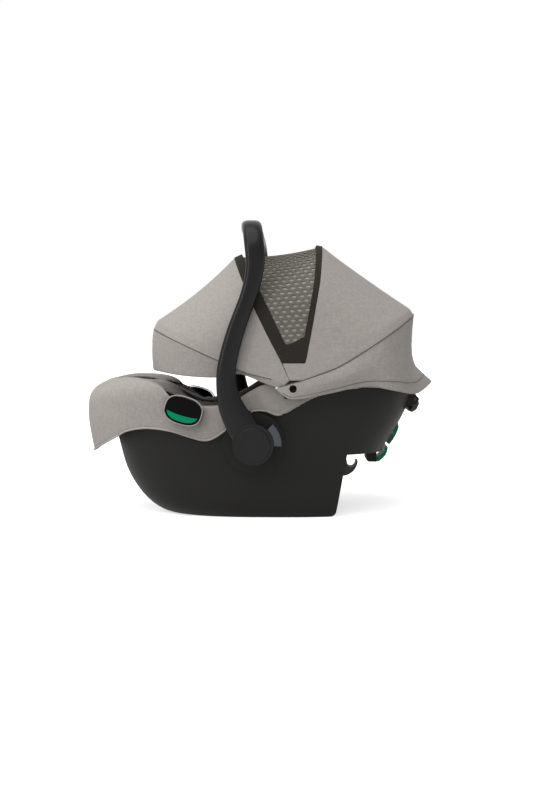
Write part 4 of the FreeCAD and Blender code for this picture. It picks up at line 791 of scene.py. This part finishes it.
mesh_yarn = woven("spacer_mesh_umber", "#635F56", "#77736A", thread=1.2, fleck=1.8, sheen=0.0)
net_yarn = woven("inner_net_grey", "#AAA7A0", "#BCB9B2", thread=1.0, fleck=1.6, sheen=0.0)
tape = woven("binding_tape_umber", "#211E1A", "#2C2924", thread=1.3, fleck=2.2, sheen=0.0)
EYE_LONG, EYE_WIDE = 14.0, 9.0    # pitch of the eyelets along the hood and round it
EYE_ROWS = 8                      # rows that the search goes out from the window's middle line
SLANT, SLANT_DRIFT, SLANT_SIZE = 0.22, 0.3, 23    # lean of an eyelet's ends, and how it varies
MESH_THICK, NET_THICK, TAPE_THICK = 1.2, 0.5, 1.0
WINDOW_SAG = 6
WINDOW_START = 62.0               # how near the pivot the mesh comes down
TAPE_START, TAPE_LIFT = 49, 0.9
TAPE_STEPS = 4
EVEN = 240                        # steps that the window's edges are divided in
front_edge = smooth_line(((40, -21), (80, -20), (185, -17), (264, -13)))
front_tape = smooth_line(((40, -1), (110, 4), (181, 6), (225, 5), (264, 3)))


def rear_tape(x):
    """The rear side of the rear tape, which is 11.5 mm wide."""
    return rear_edge(x) + 11.5


def part_way(low, high, share):
    """An edge that lies a share of the way from one edge to another."""
    return lambda x: low(x) + (high(x) - low(x)) * share


def resample(line, count):
    """The same line as a count of even steps, and its length."""
    lengths = [0.0]
    for a, b in zip(line, line[1:]):
        lengths.append(lengths[-1] + (b - a).length)
    made = []
    for i in range(count + 1):
        target = lengths[-1] * i / count
        k = min(max(sum(1 for v in lengths if v <= target) - 1, 0), len(line) - 2)
        share = (target - lengths[k]) / (lengths[k + 1] - lengths[k])
        made.append(line[k].lerp(line[k + 1], share))
    return made, lengths[-1]


net_rows = rows_between(bow_line(*MID_REAR, WINDOW_START, -1.5, rear_edge),
                        bow_line(*MID_FRONT, WINDOW_START, -1.5), 8, WINDOW_SAG)
net = grid_piece("canopy_window_net", net_rows, net_yarn, NET_THICK, drift=0)
bend_between(net)


window_first, round_first = resample(bow_line(*MID_REAR, WINDOW_START, 0, rear_edge), EVEN)
window_last, round_last = resample(bow_line(*MID_FRONT, WINDOW_START), EVEN)
window_round = (round_first + round_last) / 2


def window_spot(s, t):
    """A point of the window: s round the hood, t from its middle line towards the front bow.
    Also whether it lies between the bows."""
    place = min(max(s / window_round, 0), 1) * EVEN
    k = min(int(place), EVEN - 1)
    a = window_first[k].lerp(window_first[k + 1], place - k)
    b = window_last[k].lerp(window_last[k + 1], place - k)
    v = min(max(0.5 + t / (b - a).length, 0), 1)
    spot = a.lerp(b, v)
    out = Vector((spot.x - PIVOT.x, 0, spot.z - PIVOT.z)).normalized()
    return spot - out * WINDOW_SAG * 4 * v * (1 - v) * crownness(spot), 0 < v < 1


points, faces, known = [], [], {}
for column in range(round(window_round / EYE_WIDE)):
    for row in range(-EYE_ROWS, EYE_ROWS + 1):
        s, t = (column + 0.5) * EYE_WIDE, (row + column % 2 / 2) * EYE_LONG
        if not window_spot(s, t)[1]:
            continue
        slant = SLANT + SLANT_DRIFT * noise.noise(Vector((s, t, 0)) / SLANT_SIZE)
        cell = ((-0.5, -0.5), (0, -0.5), (0.5, -0.5), (0.5, 0.5), (0, 0.5), (-0.5, 0.5))
        eyelet = ((-0.34, -0.15 - slant * 0.3), (0, -0.3), (0.34, -0.15 + slant * 0.3),
                  (0.34, 0.15 + slant * 0.3), (0, 0.3), (-0.34, 0.15 - slant * 0.3))
        loops = []
        for ring in (cell, eyelet):    # as shares of the pitch
            loop = []
            for along, around in ring:
                key = (round(s + around * EYE_WIDE, 2), round(t + along * EYE_LONG, 2))
                if key not in known:
                    known[key] = len(points)
                    points.append(window_spot(*key)[0])
                loop.append(known[key])
            loops.append(loop)
        faces += [(loops[0][k], loops[0][(k + 1) % 6], loops[1][(k + 1) % 6], loops[1][k])
                  for k in range(6)]
window = new_piece("canopy_window_mesh", points, faces, mesh_yarn)
give_thickness(window, MESH_THICK)
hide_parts("canopy_window")
bend_between(window)

for name, bow, body, low, high in (
        ("canopy_window_tape_front", MID_FRONT, "mid_front_bow", front_edge, front_tape),
        ("canopy_window_tape_rear", MID_REAR, "mid_rear_bow", rear_edge, rear_tape)):
    rows = [bow_line(*bow, TAPE_START, TAPE_LIFT, part_way(low, high, k / TAPE_STEPS))
            for k in range(TAPE_STEPS + 1)]
    strip = grid_piece(name, rows, tape, TAPE_THICK, drift=0)
    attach(strip, body)


def side_patch(name, low_edge, high_edge, material, lift, thick):
    """A flat patch on both sides of the hood between two edges, in (x, z) from the pivot."""
    for side, word in SIDES:
        out = side * (CLOTH_HALF + lift)
        edges = [resample([Vector((x, out, z)) + PIVOT for x, z in edge], 10)[0]
                 for edge in (low_edge, high_edge)]
        rows = [[a.lerp(b, k / 6) for a, b in zip(*edges)] for k in range(7)]
        patch = grid_piece(f"{name}_{word}", rows, material, thick, drift=0)
        bend_between(patch)


side_patch("canopy_window_foot", ((-20, 45), (23, 45)), ((-32, 84), (-9, 79), (27, 97)), tape,
           lift=0.5, thick=1.0)
side_patch("canopy_gusset", ((-6, 14), (17, 14)), ((-20, 47), (23, 47)), melange,
           lift=0.0, thick=1.2)

# ---- canopy skirt ---------------------------------------------------------------------------
# Behind the rear bow a skirt of the same melange hangs over the head end of the shell and flares
# to a tail, kept down by an elastic hem. At each side it ends in a round tab, held by a glossy
# snap over the pivot and a small white nylon rivet.

# the near half of the skirt's lines, from the tab round to the middle of the tail
TOP_EDGE = ((29, -198.6, 245.8), (44, -198.6, 249.4), (62, -198.6, 254.2), (93, -198.4, 264),
            (142.7, -198.2, 283.4), (187.8, -198.0, 310.8), (238.4, -181.8, 343.5),
            (274.5, -137.8, 368.8), (287.6, -77.6, 378.6), (287.6, 0, 378.8))
WAIST = ((29, -198.6, 245.4), (41, -198.8, 242), (58, -198.8, 240), (84, -198.8, 246.5),
         (136, -198.8, 260), (187, -198.8, 279), (237, -183, 297), (273, -139.5, 302),
         (285.5, -78, 303), (285, 0, 303))
LOWER = ((29, -198.6, 245), (39, -198.6, 236), (55, -198.4, 226), (82, -195.5, 227),
         (129, -190, 236), (192, -188, 248), (248, -176, 239), (287, -122, 231),
         (313, -64, 239), (334, 0, 249.5))


def smooth_between(points, share):
    """A point on a smooth curve through points, by its share of the way."""
    last = len(points) - 1
    place = share * last
    i = min(int(place), last - 1)
    t = place - i
    p0, p1, p2, p3 = (Vector(points[min(max(i + k, 0), last)]) for k in (-1, 0, 1, 2))
    return 0.5 * (2 * p1 + (p2 - p0) * t + (2 * p0 - 5 * p1 + 4 * p2 - p3) * t * t
                  + (3 * p1 - p0 - 3 * p2 + p3) * t ** 3)


SKIRT_COLUMNS, SKIRT_ROWS = 54, 16
SKIRT_THICK = 1.6
skirt_rows = []
for row in range(SKIRT_ROWS + 1):
    line = []
    for column in range(SKIRT_COLUMNS + 1):
        share = column / SKIRT_COLUMNS
        trio = [smooth_between(edge, share) for edge in (TOP_EDGE, WAIST, LOWER)]
        line.append(smooth_between(trio, row / SKIRT_ROWS))
    skirt_rows.append(line + [Vector((p.x, -p.y, p.z)) for p in line[-2::-1]])
skirt = grid_piece("canopy_skirt_cloth", skirt_rows, melange, SKIRT_THICK, drift=0.6)
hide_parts("canopy_skirt")
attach(skirt, "seat_shell")

HEM_ROW = 3       # rows up from the free edge where the elastic hem is sewn
# the dark cord along the skirt's top edge is painted shade in the rear seam's groove
rear_seam = [p + Vector((0.4, 0.8 if p.y > 0 else -0.8, 0.6)) for p in skirt_rows[0][3:-3]]
stitched("canopy_rear_seam", rear_seam, 0.9, groove_shade_and_thread, "seat_shell")
hem_stitch = [p + Vector((1, 1.0 if p.y > 0 else -1.0, 0))
              for p in skirt_rows[SKIRT_ROWS - HEM_ROW][6:-6]]
stitched("canopy_skirt_hem_stitch", hem_stitch, 0.4, groove_shade_and_thread, "seat_shell")

TAB_OUT = 199.3                 # how far the studs' feet lie from the middle plane
STUD_SIDES = 24
STUD_RINGS = ((0, 1.4), (0.6, 1.3), (0.92, 0.8), (1, 0))    # share of the radius, and height
SNAP_SPOT, SNAP_RADIUS = (60.8, 244.4), 7.2
RIVET_SPOT, RIVET_RADIUS = (31.6, 246.0), 2.6
EYELET_RADIUS, EYELET_THREAD, EYELET_SIDES = 8.6, 0.9, 36
rivet_nylon = moulded("moulded_nylon_white", "#D9D8D4", "#E4E3DF",
                      roughness=0.4, grain=1.2, depth=0.02, gloss=0.3)


def disc_points(spot, radius, out, count):
    """Points of a circle on the side of the canopy, in millimetres."""
    return [Vector((spot[0] + radius * math.cos(2 * math.pi * k / count), out,
                    spot[1] + radius * math.sin(2 * math.pi * k / count))) for k in range(count)]


for side, name in SIDES:
    for label, spot, radius, material in (("snap", SNAP_SPOT, SNAP_RADIUS, gloss_black),
                                          ("rivet", RIVET_SPOT, RIVET_RADIUS, rivet_nylon)):
        points = []
        for share, high in STUD_RINGS:
            points += disc_points(spot, radius * share, side * (TAB_OUT + high), STUD_SIDES)
        faces = [(r * STUD_SIDES + k, r * STUD_SIDES + (k + 1) % STUD_SIDES,
                  (r + 1) * STUD_SIDES + (k + 1) % STUD_SIDES, (r + 1) * STUD_SIDES + k)
                 for r in range(len(STUD_RINGS) - 1) for k in range(STUD_SIDES)]
        stud = new_piece(f"canopy_tab_{label}_{name}", points,
                         [f if side > 0 else f[::-1] for f in faces], material)
        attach(stud, "seat_shell")
    ring = disc_points(SNAP_SPOT, EYELET_RADIUS, side * (TAB_OUT + 0.1), EYELET_SIDES)
    eyelet = tube(f"canopy_tab_eyelet_{name}", ring, EYELET_THREAD, piping_highlit_cloth, closed=True)
    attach(eyelet, "seat_shell")
